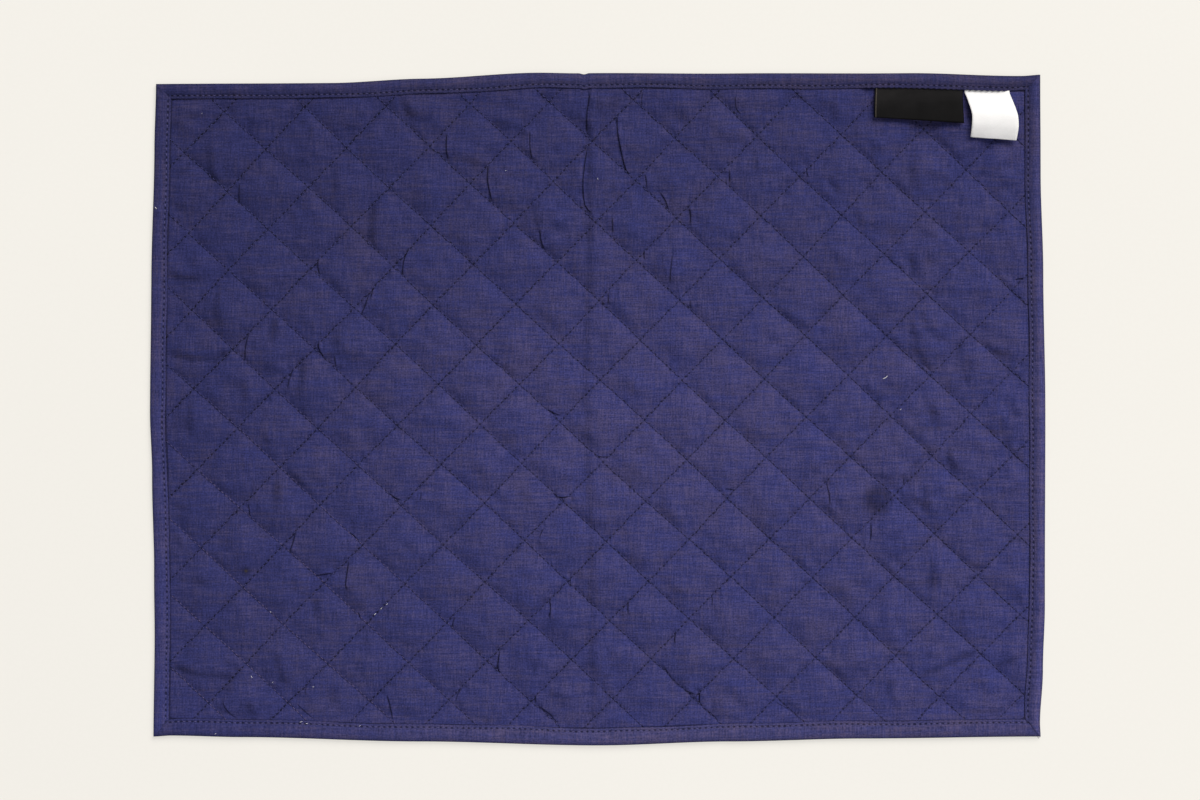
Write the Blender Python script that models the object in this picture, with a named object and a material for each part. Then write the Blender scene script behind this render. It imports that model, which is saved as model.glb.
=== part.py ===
"""Quilted cotton placemat lying flat, label side up.

Right-handed frame: X runs along the long side, Y from the near side to the far side where the labels
hang, Z up from the table. Sizes are in millimetres until the meshes are made in metres.
"""
import math

import bmesh
import bpy
from mathutils import Vector
from mathutils.geometry import delaunay_2d_cdt

MM = 0.001

# Outline: the corners run anticlockwise from the near left one, and side k joins corner k to corner k + 1.
CORNERS = ((-224.7, -165.2), (223.7, -165.2), (223.5, 169.0), (-223.4, 164.3))

# The middle of the finished mat's bounds in the table coordinates, which becomes the origin.
MIDDLE = (-0.2, 0.12, 0.0)

# Columns: share of the way along the side, how far the edge bows out of the straight chord.
NEAR_BOW = ((0.0, 0.0), (0.02, -0.5), (0.1, 0.3), (0.3, 2.5), (0.5, 4.5), (0.65, 2.5), (0.8, 1.0), (1.0, 0.0))
RIGHT_BOW = ((0.0, 0.0), (0.02, -0.3), (0.1, 1.2), (0.2, 2.2), (0.5, 2.5), (0.7, 1.5), (0.85, 0.2), (1.0, 0.0))
FAR_BOW = ((0.0, 0.0), (0.02, -0.5), (0.15, 1.5), (0.35, 2.3), (0.57, 3.7), (0.7, 1.3), (0.8, -0.4), (1.0, 0.0))
LEFT_BOW = ((0.0, 0.0), (0.1, 0.7), (0.3, 2.0), (0.5, 2.4), (0.6, 1.2), (0.75, 0.0), (0.85, -0.4), (1.0, 0.0))
BOWS = (NEAR_BOW, RIGHT_BOW, FAR_BOW, LEFT_BOW)

# Binding: the width of the strip that shows on each side, and its cloth.
BINDING_WIDTHS = (8.5, 7.8, 7.9, 7.6)
BINDING_WAVE = 0.25
WAVE_LENGTHS = (9.0, 23.0)
UNDER_FLAP_EXTRA = 0.2
CLOTH = 1.0
GAP = 0.35
EDGE_ROUND = 0.35
FLAP_ROLL = 0.25
MITRE_RIDGE = 0.35
MITRE_BLUNT = 0.4
LONG_SIDE_SECTIONS = 24
SHORT_SIDE_SECTIONS = 17
CORNER_SHARES = (0.0, 0.005, 0.02)
PUCKER_HEIGHT = 0.16
PUCKER_LENGTHS = (6.1, 31.0)

# Panel: rim squeezed inside the binding, seams pulled down, diamonds puffed up.
RIM_THICKNESS = 0.8
SEAM_HEIGHT = 1.7
CROWN_HEIGHT = 3.5
CROWN_VARIATION = 0.07
CROWN_TURNS = ((2.3, 1.1), (-0.9, 1.7))
CROWN_FULLNESS = 3.0
CROWN_SHARPNESS = 0.6
SQUEEZE_REACH = 9.0
RIM_CLEAR = 0.45
LEAST_GRID_DEPTH = 1.45
LEAST_FOLD_DEPTH = 0.9
GRID_SPACING = 1.5
FOLD_SPACING = 0.9

# Quilting lattice: steps are half diamonds; the rows lean, and the pitch drifts over the mat.
LATTICE_ORIGIN = (0.3, 54.4)
HALF_ACROSS = (20.72, 0.49)
HALF_DOWN = (0.68, -20.29)
DRIFT_ACROSS = (0.014, 0.001)
DRIFT_TWIST = (-0.013, -0.025)
DRIFT_DOWN = (0.005, 0.019)
SEAM_RANGE = range(-17, 18)
CELL_SHARES = (0.0, 0.17, 0.5, 0.83)

# Main folds where the face cloth is caught over itself.
# Columns: x and y of the far end, x and y of the near end, depth, half width.
FOLDS = (
    (-76.0, 139.5, -75.5, 126.0, 0.7, 1.6),
    (-55.0, 125.5, -53.0, 104.5, 0.7, 1.6),
    (-4.5, 160.0, -5.3, 138.0, 0.8, 1.6),
    (-5.5, 130.0, -4.5, 100.0, 0.7, 1.6),
    (10.0, 148.5, 13.5, 122.0, 0.8, 1.6),
    (46.5, 102.0, 46.9, 92.5, 0.8, 1.6),
    (23.0, 160.5, 26.5, 147.5, 0.7, 1.6),
    (-115.0, 68.0, -119.5, 47.0, 0.7, 1.6),
    (-141.0, 39.0, -137.5, 24.5, 0.7, 1.6),
    (-176.0, 39.0, -178.5, 24.5, 0.7, 1.6),
    (-154.5, 19.5, -157.0, 10.0, 0.6, 1.6),
    (24.0, 81.0, 24.0, 74.5, 0.6, 1.6),
    (-152.5, -62.0, -156.0, -73.5, 0.7, 1.6),
    (-127.0, -76.5, -126.0, -91.0, 0.7, 1.6),
    (138.0, -57.0, 138.0, -68.0, 0.7, 1.6),
    (-49.5, -122.0, -49.0, -133.5, 1.0, 1.7),
    (-24.5, -95.5, -24.5, -106.5, 0.7, 1.6),
    (39.7, -113.5, 39.2, -119.0, 0.7, 1.6),
    (51.7, -142.0, 51.7, -150.0, 0.9, 1.6),
    (-190.5, -143.0, -184.0, -155.5, 0.6, 1.6),
    (-106.5, -144.0, -103.5, -157.5, 0.7, 1.6),
    (-196.5, 132.0, -192.5, 112.5, 0.6, 1.6),
)
FOLD_STEPS = 4
FOLD_END_DEPTH = 0.3
FOLD_EASE = 4.0
CENTRE_FOLD = (-4.0, 98.0, -8.0, -156.0, 0.35, 2.6)
CENTRE_FOLD_STEPS = 26

# Labels: hidden root under the binding, which is lifted over them.
LABEL_CLOTH = 1.0
FLAP_LIFT = 1.55
LIFT_START_SHARE = 0.005
LIFT_FULL_SHARE = 0.0145
LIFT_HOLD_SHARE = 0.183
LIFT_END_SHARE = 0.194
MARK_SPACING = 0.008
LIFT_FOOT = 1.2
LIFT_TOP = 3.7

# Columns: x and y at the left edge, x and y at the right edge, height of the underside left and right.
WOVEN_LABEL_ROWS = (
    (140.3, 165.4, 184.9, 165.0, 2.5, 2.5),
    (140.3, 160.6, 184.9, 160.2, 2.65, 2.65),
    (140.2, 158.4, 184.8, 158.0, 3.1, 3.1),
    (140.1, 155.6, 184.9, 155.4, 4.0, 4.1),
    (140.0, 152.0, 185.1, 151.6, 4.4, 4.8),
    (140.0, 147.4, 185.5, 144.4, 4.5, 6.3),
)
CARE_LABEL_ROWS = (
    (185.6, 165.0, 208.3, 164.7, 2.5, 2.5),
    (185.7, 160.2, 208.5, 159.9, 2.65, 2.65),
    (186.5, 158.0, 209.3, 157.6, 3.4, 3.4),
    (187.4, 155.6, 210.4, 154.9, 5.0, 4.8),
    (188.6, 152.2, 211.7, 151.6, 6.9, 6.6),
    (189.5, 148.8, 212.8, 148.0, 7.9, 7.6),
    (189.5, 144.5, 213.1, 143.4, 7.6, 7.4),
    (189.1, 140.8, 212.6, 139.2, 6.2, 6.2),
    (188.8, 137.9, 212.0, 136.1, 4.6, 4.9),
)
LABEL_COLUMNS = 5

FLAP_UNDER = CLOTH + GAP + RIM_THICKNESS + GAP
FLAP_TOP = FLAP_UNDER + CLOTH
RIM_UNDER = CLOTH + GAP
RIM_TOP = RIM_UNDER + RIM_THICKNESS


def clear_scene():
    for item in list(bpy.data.objects):
        bpy.data.objects.remove(item)


def smooth(value):
    value = min(1.0, max(0.0, value))
    return value * value * (3.0 - 2.0 * value)


def read_rows(rows, share):
    """Value at a share along a table of (share, value) rows, eased between the rows."""
    for (start, low), (end, high) in zip(rows, rows[1:]):
        if share <= end:
            return low + (high - low) * smooth((share - start) / (end - start))
    return rows[-1][1]


def side_frame(side):
    """Start corner, unit vector along the side, outward unit vector and length."""
    start = Vector(CORNERS[side])
    end = Vector(CORNERS[(side + 1) % 4])
    along = (end - start).normalized()
    return start, along, Vector((along.y, -along.x)), (end - start).length


SIDES = [side_frame(side) for side in range(4)]


def inset_corner(corner, share, extra):
    """Corner of the outline moved in by a share of each side's binding width plus an extra."""
    before = (corner - 1) % 4
    start, along, outward, _ = SIDES[corner]
    _, along_before, outward_before, _ = SIDES[before]
    inset = share * BINDING_WIDTHS[corner] + extra
    inset_before = share * BINDING_WIDTHS[before] + extra
    turn = along_before.dot(outward)
    step = (-inset - (-outward_before * inset_before).dot(outward)) / turn
    return start - outward_before * inset_before + along_before * step


def ring_point(side, along_share, share, extra):
    """Point on a ring inside the outline, on the given side and share of its way along."""
    first = inset_corner(side, share, extra)
    last = inset_corner((side + 1) % 4, share, extra)
    _, _, outward, length = SIDES[side]
    ends = math.sin(math.pi * along_share)
    wave = sum(math.sin(along_share * length / wave_length + side) for wave_length in WAVE_LENGTHS)
    bow = read_rows(BOWS[side], along_share) - share * BINDING_WAVE * wave * ends
    return first.lerp(last, along_share) + outward * bow


def depth_inside(x, y):
    """Distance in from the outline beyond the binding's inner edge, negative under the binding."""
    depths = []
    for side, (start, along, outward, length) in enumerate(SIDES):
        offset = Vector((x, y)) - start
        share = min(1.0, max(0.0, offset.dot(along) / length))
        depths.append(read_rows(BOWS[side], share) - offset.dot(outward) - BINDING_WIDTHS[side])
    return min(depths)


def ring_stations():
    """Side and share of each section round the mat, closest together at the corners and the labels."""
    stations = []
    for side in range(4):
        count = LONG_SIDE_SECTIONS if side % 2 == 0 else SHORT_SIDE_SECTIONS
        first = CORNER_SHARES[-1]
        shares = list(CORNER_SHARES)
        shares += [first + (1.0 - 2.0 * first) * step / count for step in range(1, count + 1)]
        shares += [1.0 - CORNER_SHARES[1]]
        if side == 2:
            marks = (LIFT_FULL_SHARE, LIFT_HOLD_SHARE, LIFT_END_SHARE)
            shares = [share for share in shares if all(abs(share - mark) > MARK_SPACING for mark in marks)]
            shares = sorted(shares + list(marks))
        stations += [(side, share) for share in shares]
    return stations


def flap_lift(side, share):
    """How far the binding is raised where the labels pass under it."""
    if side != 2:
        return 0.0
    rise = smooth((share - LIFT_START_SHARE) / (LIFT_FULL_SHARE - LIFT_START_SHARE))
    fall = smooth((LIFT_END_SHARE - share) / (LIFT_END_SHARE - LIFT_HOLD_SHARE))
    return FLAP_LIFT * min(rise, fall)


def lattice_point(p, q):
    """Place of a quilting coordinate; seams run where p or q is a whole number."""
    i = p + q
    j = p - q
    return tuple(
        LATTICE_ORIGIN[axis]
        + HALF_ACROSS[axis] * i
        + HALF_DOWN[axis] * j
        + DRIFT_ACROSS[axis] * i * i
        + DRIFT_TWIST[axis] * i * j
        + DRIFT_DOWN[axis] * j * j
        for axis in range(2)
    )


def lattice_coords(x, y):
    """Quilting coordinate of a place, by repeated correction."""
    p = q = 0.0
    det = HALF_ACROSS[0] * HALF_DOWN[1] - HALF_ACROSS[1] * HALF_DOWN[0]
    for _ in range(8):
        have = lattice_point(p, q)
        off_x = x - have[0]
        off_y = y - have[1]
        i = (off_x * HALF_DOWN[1] - off_y * HALF_DOWN[0]) / det
        j = (off_y * HALF_ACROSS[0] - off_x * HALF_ACROSS[1]) / det
        p += (i + j) / 2.0
        q += (i - j) / 2.0
    return p, q


def pillow(share):
    return 1.0 - abs(2.0 * share - 1.0) ** CROWN_FULLNESS


def panel_height(x, y, p, q):
    """Top of the quilted panel without its folds."""
    cell_p = math.floor(p + 1e-6)
    cell_q = math.floor(q + 1e-6)
    puff = max(0.0, pillow(p - cell_p) * pillow(q - cell_q)) ** CROWN_SHARPNESS
    uneven = sum(math.sin(turn_p * cell_p + turn_q * cell_q) for turn_p, turn_q in CROWN_TURNS)
    crown = CROWN_HEIGHT - SEAM_HEIGHT
    height = SEAM_HEIGHT + crown * puff * (1.0 + CROWN_VARIATION * uneven)
    free = smooth((depth_inside(x, y) - RIM_CLEAR) / SQUEEZE_REACH)
    return RIM_TOP + (height - RIM_TOP) * free


def fold_points():
    """Points along each main fold and on its two shoulders, with the depth to take off there."""
    points = []
    for row, steps in [(row, FOLD_STEPS) for row in FOLDS] + [(CENTRE_FOLD, CENTRE_FOLD_STEPS)]:
        far = Vector(row[0:2])
        near = Vector(row[2:4])
        across = Vector((near.y - far.y, far.x - near.x)).normalized() * row[5]
        for step in range(steps + 1):
            share = step / steps
            middle = far.lerp(near, share)
            depth = row[4] * min(1.0, FOLD_END_DEPTH + FOLD_EASE * min(share, 1.0 - share))
            points.append((middle, depth))
            points.append((middle + across, 0.0))
            points.append((middle - across, 0.0))
    return points


def add_mesh(name, verts, faces, colour, roughness):
    """Make a closed mesh in metres, facing outwards, with its own material."""
    mesh = bpy.data.meshes.new(name)
    placed = [[(value - middle) * MM for value, middle in zip(vert, MIDDLE)] for vert in verts]
    mesh.from_pydata(placed, [], faces)
    work = bmesh.new()
    work.from_mesh(mesh)
    bmesh.ops.triangulate(work, faces=[face for face in work.faces if len(face.verts) > 4])
    bmesh.ops.recalc_face_normals(work, faces=work.faces)
    work.to_mesh(mesh)
    work.free()
    material = bpy.data.materials.new(name + "_cloth")
    material.use_nodes = True
    shader = material.node_tree.nodes["Principled BSDF"]
    shader.inputs["Base Color"].default_value = colour
    shader.inputs["Roughness"].default_value = roughness
    mesh.materials.append(material)
    result = bpy.data.objects.new(name, mesh)
    bpy.context.scene.collection.objects.link(result)
    return result


def ring_strip(first, second, count):
    """Quads joining two rings of the same length, given the index of each ring's first vertex."""
    return [
        (first + k, first + (k + 1) % count, second + (k + 1) % count, second + k)
        for k in range(count)
    ]


def top_points(inner_ring):
    """Flat places of the panel's top vertices: the inner ring, then folds, then the lattice grid."""
    points = list(inner_ring)
    drops = [0.0] * len(points)
    taken = list(inner_ring)
    for place, depth in fold_points():
        if depth_inside(place.x, place.y) < LEAST_FOLD_DEPTH:
            continue
        if min((place - other).length for other in taken) < FOLD_SPACING:
            continue
        points.append(place)
        drops.append(depth)
        taken.append(place)
    for row_p in SEAM_RANGE:
        for row_q in SEAM_RANGE:
            for share_p in CELL_SHARES:
                for share_q in CELL_SHARES:
                    place = Vector(lattice_point(row_p + share_p, row_q + share_q))
                    if depth_inside(place.x, place.y) < LEAST_GRID_DEPTH:
                        continue
                    if min((place - other).length for other in taken) < GRID_SPACING:
                        continue
                    points.append(place)
                    drops.append(0.0)
    return points, drops


def make_panel(stations):
    count = len(stations)
    edge = [ring_point(side, share, 0.0, CLOTH + GAP) for side, share in stations]
    inner = [ring_point(side, share, 1.0, RIM_CLEAR) for side, share in stations]
    under = [ring_point(side, share, 1.0, UNDER_FLAP_EXTRA + GAP) for side, share in stations]
    points, drops = top_points(inner)
    loop = [(k, (k + 1) % count) for k in range(count)]
    flat = delaunay_2d_cdt(points, loop, [], 1, 1e-4)
    verts = []
    for place, sources in zip(flat[0], flat[3]):
        p, q = lattice_coords(place.x, place.y)
        height = panel_height(place.x, place.y, p, q) - drops[sources[0]]
        if sources[0] < count:
            height = RIM_TOP
        verts.append((place.x, place.y, height))
    ring_of = {sources[0]: index for index, sources in enumerate(flat[3])}
    faces = [tuple(face) for face in flat[2]]
    start = len(verts)
    verts += [(place.x, place.y, RIM_TOP) for place in edge]
    verts += [(place.x, place.y, RIM_UNDER) for place in edge]
    verts += [(place.x, place.y, RIM_UNDER) for place in under]
    verts += [(place.x, place.y, 0.0) for place in under]
    for k in range(count):
        after = (k + 1) % count
        faces.append((ring_of[k], ring_of[after], start + after, start + k))
    for level in range(3):
        faces += ring_strip(start + level * count, start + (level + 1) * count, count)
    faces.append(tuple(range(start + 3 * count, start + 4 * count)))
    return add_mesh("quilted_panel", verts, faces, (0.036, 0.035, 0.12, 1.0), 0.9)


def binding_profile(lift, pucker, mitre):
    """Closed U of (share of the width, extra inset, height), from the table round to the table."""
    top = FLAP_TOP + pucker + mitre
    blunt = MITRE_BLUNT if mitre else 0.0
    return (
        (0.0, EDGE_ROUND + blunt, 0.0),
        (0.0, blunt, 2.0 * EDGE_ROUND),
        (0.0, blunt, FLAP_TOP - 2.0 * EDGE_ROUND),
        (0.0, EDGE_ROUND + blunt, FLAP_TOP - 0.3 * EDGE_ROUND),
        (0.0, LIFT_FOOT + blunt, top),
        (0.0, LIFT_TOP, top + lift),
        (1.0, -2.0 * FLAP_ROLL, top + lift),
        (1.0, 0.0, FLAP_TOP - FLAP_ROLL + lift),
        (1.0, 0.0, FLAP_UNDER + lift),
        (0.0, LIFT_TOP, FLAP_UNDER + lift),
        (0.0, LIFT_FOOT, FLAP_UNDER),
        (0.0, CLOTH, FLAP_UNDER),
        (0.0, CLOTH, CLOTH),
        (1.0, UNDER_FLAP_EXTRA, CLOTH),
        (1.0, UNDER_FLAP_EXTRA, 0.0),
    )


def make_binding(stations):
    verts = []
    faces = []
    for side, share in stations:
        _, _, _, length = SIDES[side]
        distance = share * length
        ripple, swell = (math.sin(distance / ripple_length) for ripple_length in PUCKER_LENGTHS)
        pucker = PUCKER_HEIGHT * ripple * swell
        mitre = MITRE_RIDGE if share == 0.0 else 0.0
        for width_share, extra, height in binding_profile(flap_lift(side, share), pucker, mitre):
            place = ring_point(side, share, width_share, extra)
            verts.append((place.x, place.y, height))
    size = len(binding_profile(0.0, 0.0, 0.0))
    count = len(stations)
    for k in range(count):
        here = k * size
        there = ((k + 1) % count) * size
        for row in range(size):
            after = (row + 1) % size
            faces.append((here + row, there + row, there + after, here + after))
    return add_mesh("edge_binding", verts, faces, (0.032, 0.031, 0.11, 1.0), 0.9)


def make_label(name, rows, colour, roughness):
    """Slab of label cloth following the rows, thickened square to its own slope."""
    under = []
    for left_x, left_y, right_x, right_y, left_z, right_z in rows:
        left = Vector((left_x, left_y, left_z))
        right = Vector((right_x, right_y, right_z))
        under.append([left.lerp(right, column / LABEL_COLUMNS) for column in range(LABEL_COLUMNS + 1)])
    over = []
    for row, places in enumerate(under):
        before = under[max(0, row - 1)]
        after = under[min(len(under) - 1, row + 1)]
        line = []
        for column, place in enumerate(places):
            across = places[-1] - places[0]
            normal = across.cross(before[column] - after[column]).normalized()
            line.append(place + normal * LABEL_CLOTH)
        over.append(line)
    width = LABEL_COLUMNS + 1
    depth = len(rows)
    verts = [tuple(place) for line in under + over for place in line]
    lift = depth * width
    faces = []
    for row in range(depth - 1):
        for column in range(LABEL_COLUMNS):
            corner = row * width + column
            faces.append((corner, corner + 1, corner + width + 1, corner + width))
            faces.append(tuple(lift + index for index in faces[-1]))
    rim = list(range(width))
    rim += [row * width + width - 1 for row in range(1, depth)]
    rim += [(depth - 1) * width + column for column in range(width - 2, -1, -1)]
    rim += [row * width for row in range(depth - 2, 0, -1)]
    for first, second in zip(rim, rim[1:] + rim[:1]):
        faces.append((first, second, second + lift, first + lift))
    return add_mesh(name, verts, faces, colour, roughness)


def main():
    clear_scene()
    stations = ring_stations()
    make_panel(stations)
    make_binding(stations)
    make_label("woven_label", WOVEN_LABEL_ROWS, (0.012, 0.012, 0.013, 1.0), 0.7)
    make_label("care_label", CARE_LABEL_ROWS, (0.86, 0.85, 0.82, 1.0), 0.6)


main()
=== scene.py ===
"""Looks of the quilted cotton placemat: cloth, thread, labels, light and camera.

Tables are in millimetres from the middle of the photographed mat, X along the long side, Y towards the
side with the labels. to_metres() puts them in the part's frame.
"""
import math
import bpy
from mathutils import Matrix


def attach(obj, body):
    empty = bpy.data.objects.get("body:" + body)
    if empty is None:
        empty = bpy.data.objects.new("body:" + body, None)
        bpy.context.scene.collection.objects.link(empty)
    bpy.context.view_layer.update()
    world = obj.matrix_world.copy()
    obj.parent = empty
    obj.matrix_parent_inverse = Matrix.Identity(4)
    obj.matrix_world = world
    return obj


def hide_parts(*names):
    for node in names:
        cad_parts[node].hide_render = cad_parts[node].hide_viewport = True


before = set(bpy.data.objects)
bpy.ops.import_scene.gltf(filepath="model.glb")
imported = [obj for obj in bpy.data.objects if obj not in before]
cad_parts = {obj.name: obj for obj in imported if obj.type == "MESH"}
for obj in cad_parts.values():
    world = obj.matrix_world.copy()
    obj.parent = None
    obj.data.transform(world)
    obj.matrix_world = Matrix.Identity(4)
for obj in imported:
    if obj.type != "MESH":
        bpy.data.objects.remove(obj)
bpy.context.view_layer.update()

import bmesh
import bpy
import numpy as np
from mathutils import Vector

rng = np.random.default_rng(7)

MM = 0.001
MIDDLE = np.array((-0.2, 0.12, 0.0))

# ---------------------------------------------------------------- outline
CORNERS = np.array(((-225.1, -165.8), (223.7, -165.8), (223.5, 169.0), (-223.8, 164.3)))

# Columns: share of the way along the side, how far the edge bows out of the straight chord.
NEAR_BOW = (
    (0.0, 0.0), (0.02, -0.5), (0.1, 0.3), (0.3, 2.5), (0.5, 4.5), (0.65, 2.5), (0.8, 1.0), (1.0, 0.0),
)
RIGHT_BOW = (
    (0.0, 0.0), (0.02, -0.3), (0.1, 1.2), (0.2, 2.2), (0.5, 2.5), (0.7, 1.5), (0.85, 0.2), (1.0, 0.0),
)
FAR_BOW = (
    (0.0, 0.0), (0.02, -0.5), (0.15, 1.5), (0.35, 2.3), (0.51, 3.2), (0.516, 2.6),
    (0.522, 3.2), (0.57, 3.7), (0.7, 1.3), (0.8, -0.4), (1.0, 0.0),
)
LEFT_BOW = (
    (0.0, 0.0), (0.1, 0.7), (0.3, 2.0), (0.5, 2.4), (0.6, 1.2), (0.75, 0.0), (0.85, -0.4), (1.0, 0.0),
)
BOWS = (NEAR_BOW, RIGHT_BOW, FAR_BOW, LEFT_BOW)

BINDING_WIDTHS = (8.9, 8.1, 7.9, 8.0)
BINDING_WAVE = 0.25
WAVE_LENGTHS = (9.0, 23.0)

# ---------------------------------------------------------------- heights, as in the solids
CLOTH = 1.0
GAP = 0.35
RIM_THICKNESS = 0.8
RIM_UNDER = CLOTH + GAP
RIM_TOP = RIM_UNDER + RIM_THICKNESS
FLAP_UNDER = RIM_TOP + GAP
FLAP_TOP = FLAP_UNDER + CLOTH
FOLD_LEVEL = 2.45
SEAM_HEIGHT = 1.35
CROWN_HEIGHT = 3.75
CROWN_VARIATION = 0.09
CROWN_TURNS = ((2.3, 1.1), (-0.9, 1.7))
CROWN_FULLNESS = 2.3
CROWN_SHARPNESS = 0.98
SQUEEZE_REACH = 5.5
RIM_CLEAR = 0.45
# How far in from each side the painted shade beside the binding's fold reaches.
RIM_SHADE_SPREAD = (1.0, 1.0, 0.7, 2.4)

# ---------------------------------------------------------------- quilting lattice
DRAWN_SHIFT = -0.45
LATTICE_ORIGIN = (0.3 + DRAWN_SHIFT, 54.4)
HALF_ACROSS = (20.72, 0.49)
HALF_DOWN = (0.68, -20.29)
DRIFT_ACROSS = (0.014, 0.001)
DRIFT_TWIST = (-0.013, -0.025)
DRIFT_DOWN = (0.005, 0.019)
SEAM_SPACING = 29.0
STITCHES_PER_CELL = 11
CELLS_REACH = 17
CELL_STEPS = 18

# The seams sway off the even lattice: reach in mm, turn per diamond along the seam and per seam across.
SEAM_SWAYS = ((0.5, 0.6, 1.9), (0.3, 1.4, -2.7))

# Tucks: the cloth is caught over itself, and stands higher on the left of the way the row runs.
# Columns: x, y of each point of the line in turn, then the depth.
TUCKS = (
    (-76.1, 139.4, -75.6, 125.8, 1.0),
    (-34.1, 141.0, -33.1, 125.8, 0.8),
    (-55.4, 123.3, -55.4, 114.7, -53.3, 104.6, 1.0),
    (-3.8, 160.7, -4.3, 155.6, -5.3, 148.5, -5.3, 137.0, 1.2),
    (-5.3, 131.3, -6.8, 120.2, -7.3, 112.1, -6.3, 103.0, -2.8, 99.0, 1.1),
    (9.9, 148.5, 10.4, 138.4, 13.9, 122.3, 16.6, 118.6, 1.2),
    (-29.1, 91.4, -26.8, 80.3, 0.8),
    (7.3, 97.5, 7.6, 88.4, 0.7),
    (-95.2, 81.6, -97.9, 74.7, -98.6, 66.6, 1.1),
    (24.0, 119.2, 24.5, 110.6, 0.7),
    (66.5, 122.3, 66.7, 113.7, 0.7),
    (105.7, 122.3, 106.9, 116.7, 0.6),
    (46.5, 102.0, 46.8, 92.4, 1.0),
    (31.6, 109.6, 36.1, 100.0, 0.8),
    (23.0, 160.7, 22.6, 152.0, 0.5),
    (69.5, 159.2, 70.2, 152.0, 73.2, 148.6, 0.4),
    (-141.1, 76.8, -140.3, 67.1, 0.8),
    (-111.5, 64.1, -114.5, 54.5, 0.9),
    (-115.5, 58.5, -119.8, 46.9, 1.0),
    (-140.8, 35.3, -140.8, 30.2, -137.3, 24.7, 0.9),
    (-133.2, 27.7, -132.4, 20.6, 0.7),
    (-175.9, 38.8, -178.4, 24.7, 0.9),
    (-154.2, 19.6, -156.8, 10.0, 0.8),
    (24.0, 80.8, 24.0, 74.7, 0.7),
    (38.2, 78.8, 36.7, 63.1, 0.7),
    (5.3, 58.5, 5.3, 52.5, 0.7),
    (47.3, 55.5, 47.3, 50.5, 0.6),
    (-176.5, -48.1, -175.7, -55.2, 0.8),
    (-152.4, -61.8, -156.0, -73.4, 1.0),
    (-125.6, -76.4, -127.2, -89.1, -125.6, -91.1, 1.0),
    (-143.1, -84.5, -133.2, -83.0, 0.9),
    (-126.7, -61.8, -120.6, -66.8, 0.7),
    (-89.4, -41.6, -89.7, -47.1, 0.7),
    (-105.4, -42.6, -98.6, -46.4, 0.8),
    (-26.0, -0.1, -18.5, -3.6, 0.7),
    (-22.5, -42.6, -19.0, -44.6, -13.1, -44.1, 0.9),
    (-1.3, -23.4, 5.8, -24.1, 0.7),
    (64.0, -40.5, 69.5, -41.1, 0.7),
    (-27.0, -59.8, -29.6, -65.8, 0.7),
    (115.5, -36.5, 117.6, -49.1, 0.8),
    (138.0, -57.2, 137.8, -67.9, 0.9),
    (155.0, -34.0, 155.0, -39.5, 0.7),
    (-120.8, -102.7, -119.6, -106.3, 0.7),
    (-189.8, -146.2, -188.4, -150.4, -185.4, -154.2, -181.8, -156.6, 0.45),
    (-146.9, -139.6, -147.6, -144.9, 0.5),
    (-152.4, -148.6, -143.0, -157.2, 0.4),
    (-106.4, -144.2, -103.4, -157.9, 0.9),
    (-72.1, -105.3, -73.1, -111.3, 0.8),
    (-49.4, -122.0, -50.3, -130.5, -49.3, -133.6, 1.6),
    (-24.3, -95.7, -24.5, -106.3, 1.0),
    (-13.1, -84.0, -13.9, -90.6, 0.9),
    (15.9, -96.7, 15.7, -104.3, 0.7),
    (58.1, -94.6, 57.9, -99.7, 0.6),
    (39.7, -113.4, 39.2, -118.9, 1.0),
    (-31.6, -144.2, -31.6, -149.0, 0.8),
    (-67.5, -140.4, -70.5, -144.0, -71.8, -148.6, 0.6),
    (-3.5, -155.8, -4.3, -159.6, 0.8),
    (51.7, -142.2, 51.7, -149.8, 1.4),
    (43.2, -142.2, 49.3, -144.2, 0.8),
    (33.5, -129.8, 42.7, -141.6, 0.4),
    (52.0, -150.4, 62.4, -159.4, 0.4),
    (-30.9, -149.4, -19.6, -159.4, 0.4),
    (89.9, -148.0, 103.6, -158.4, 0.4),
    (-180.8, 114.7, -181.1, 102.0, 0.5),
    (210.6, 65.1, 216.1, 66.1, 0.8),
    (212.6, -20.3, 217.1, -18.8, 0.8),
)

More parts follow.
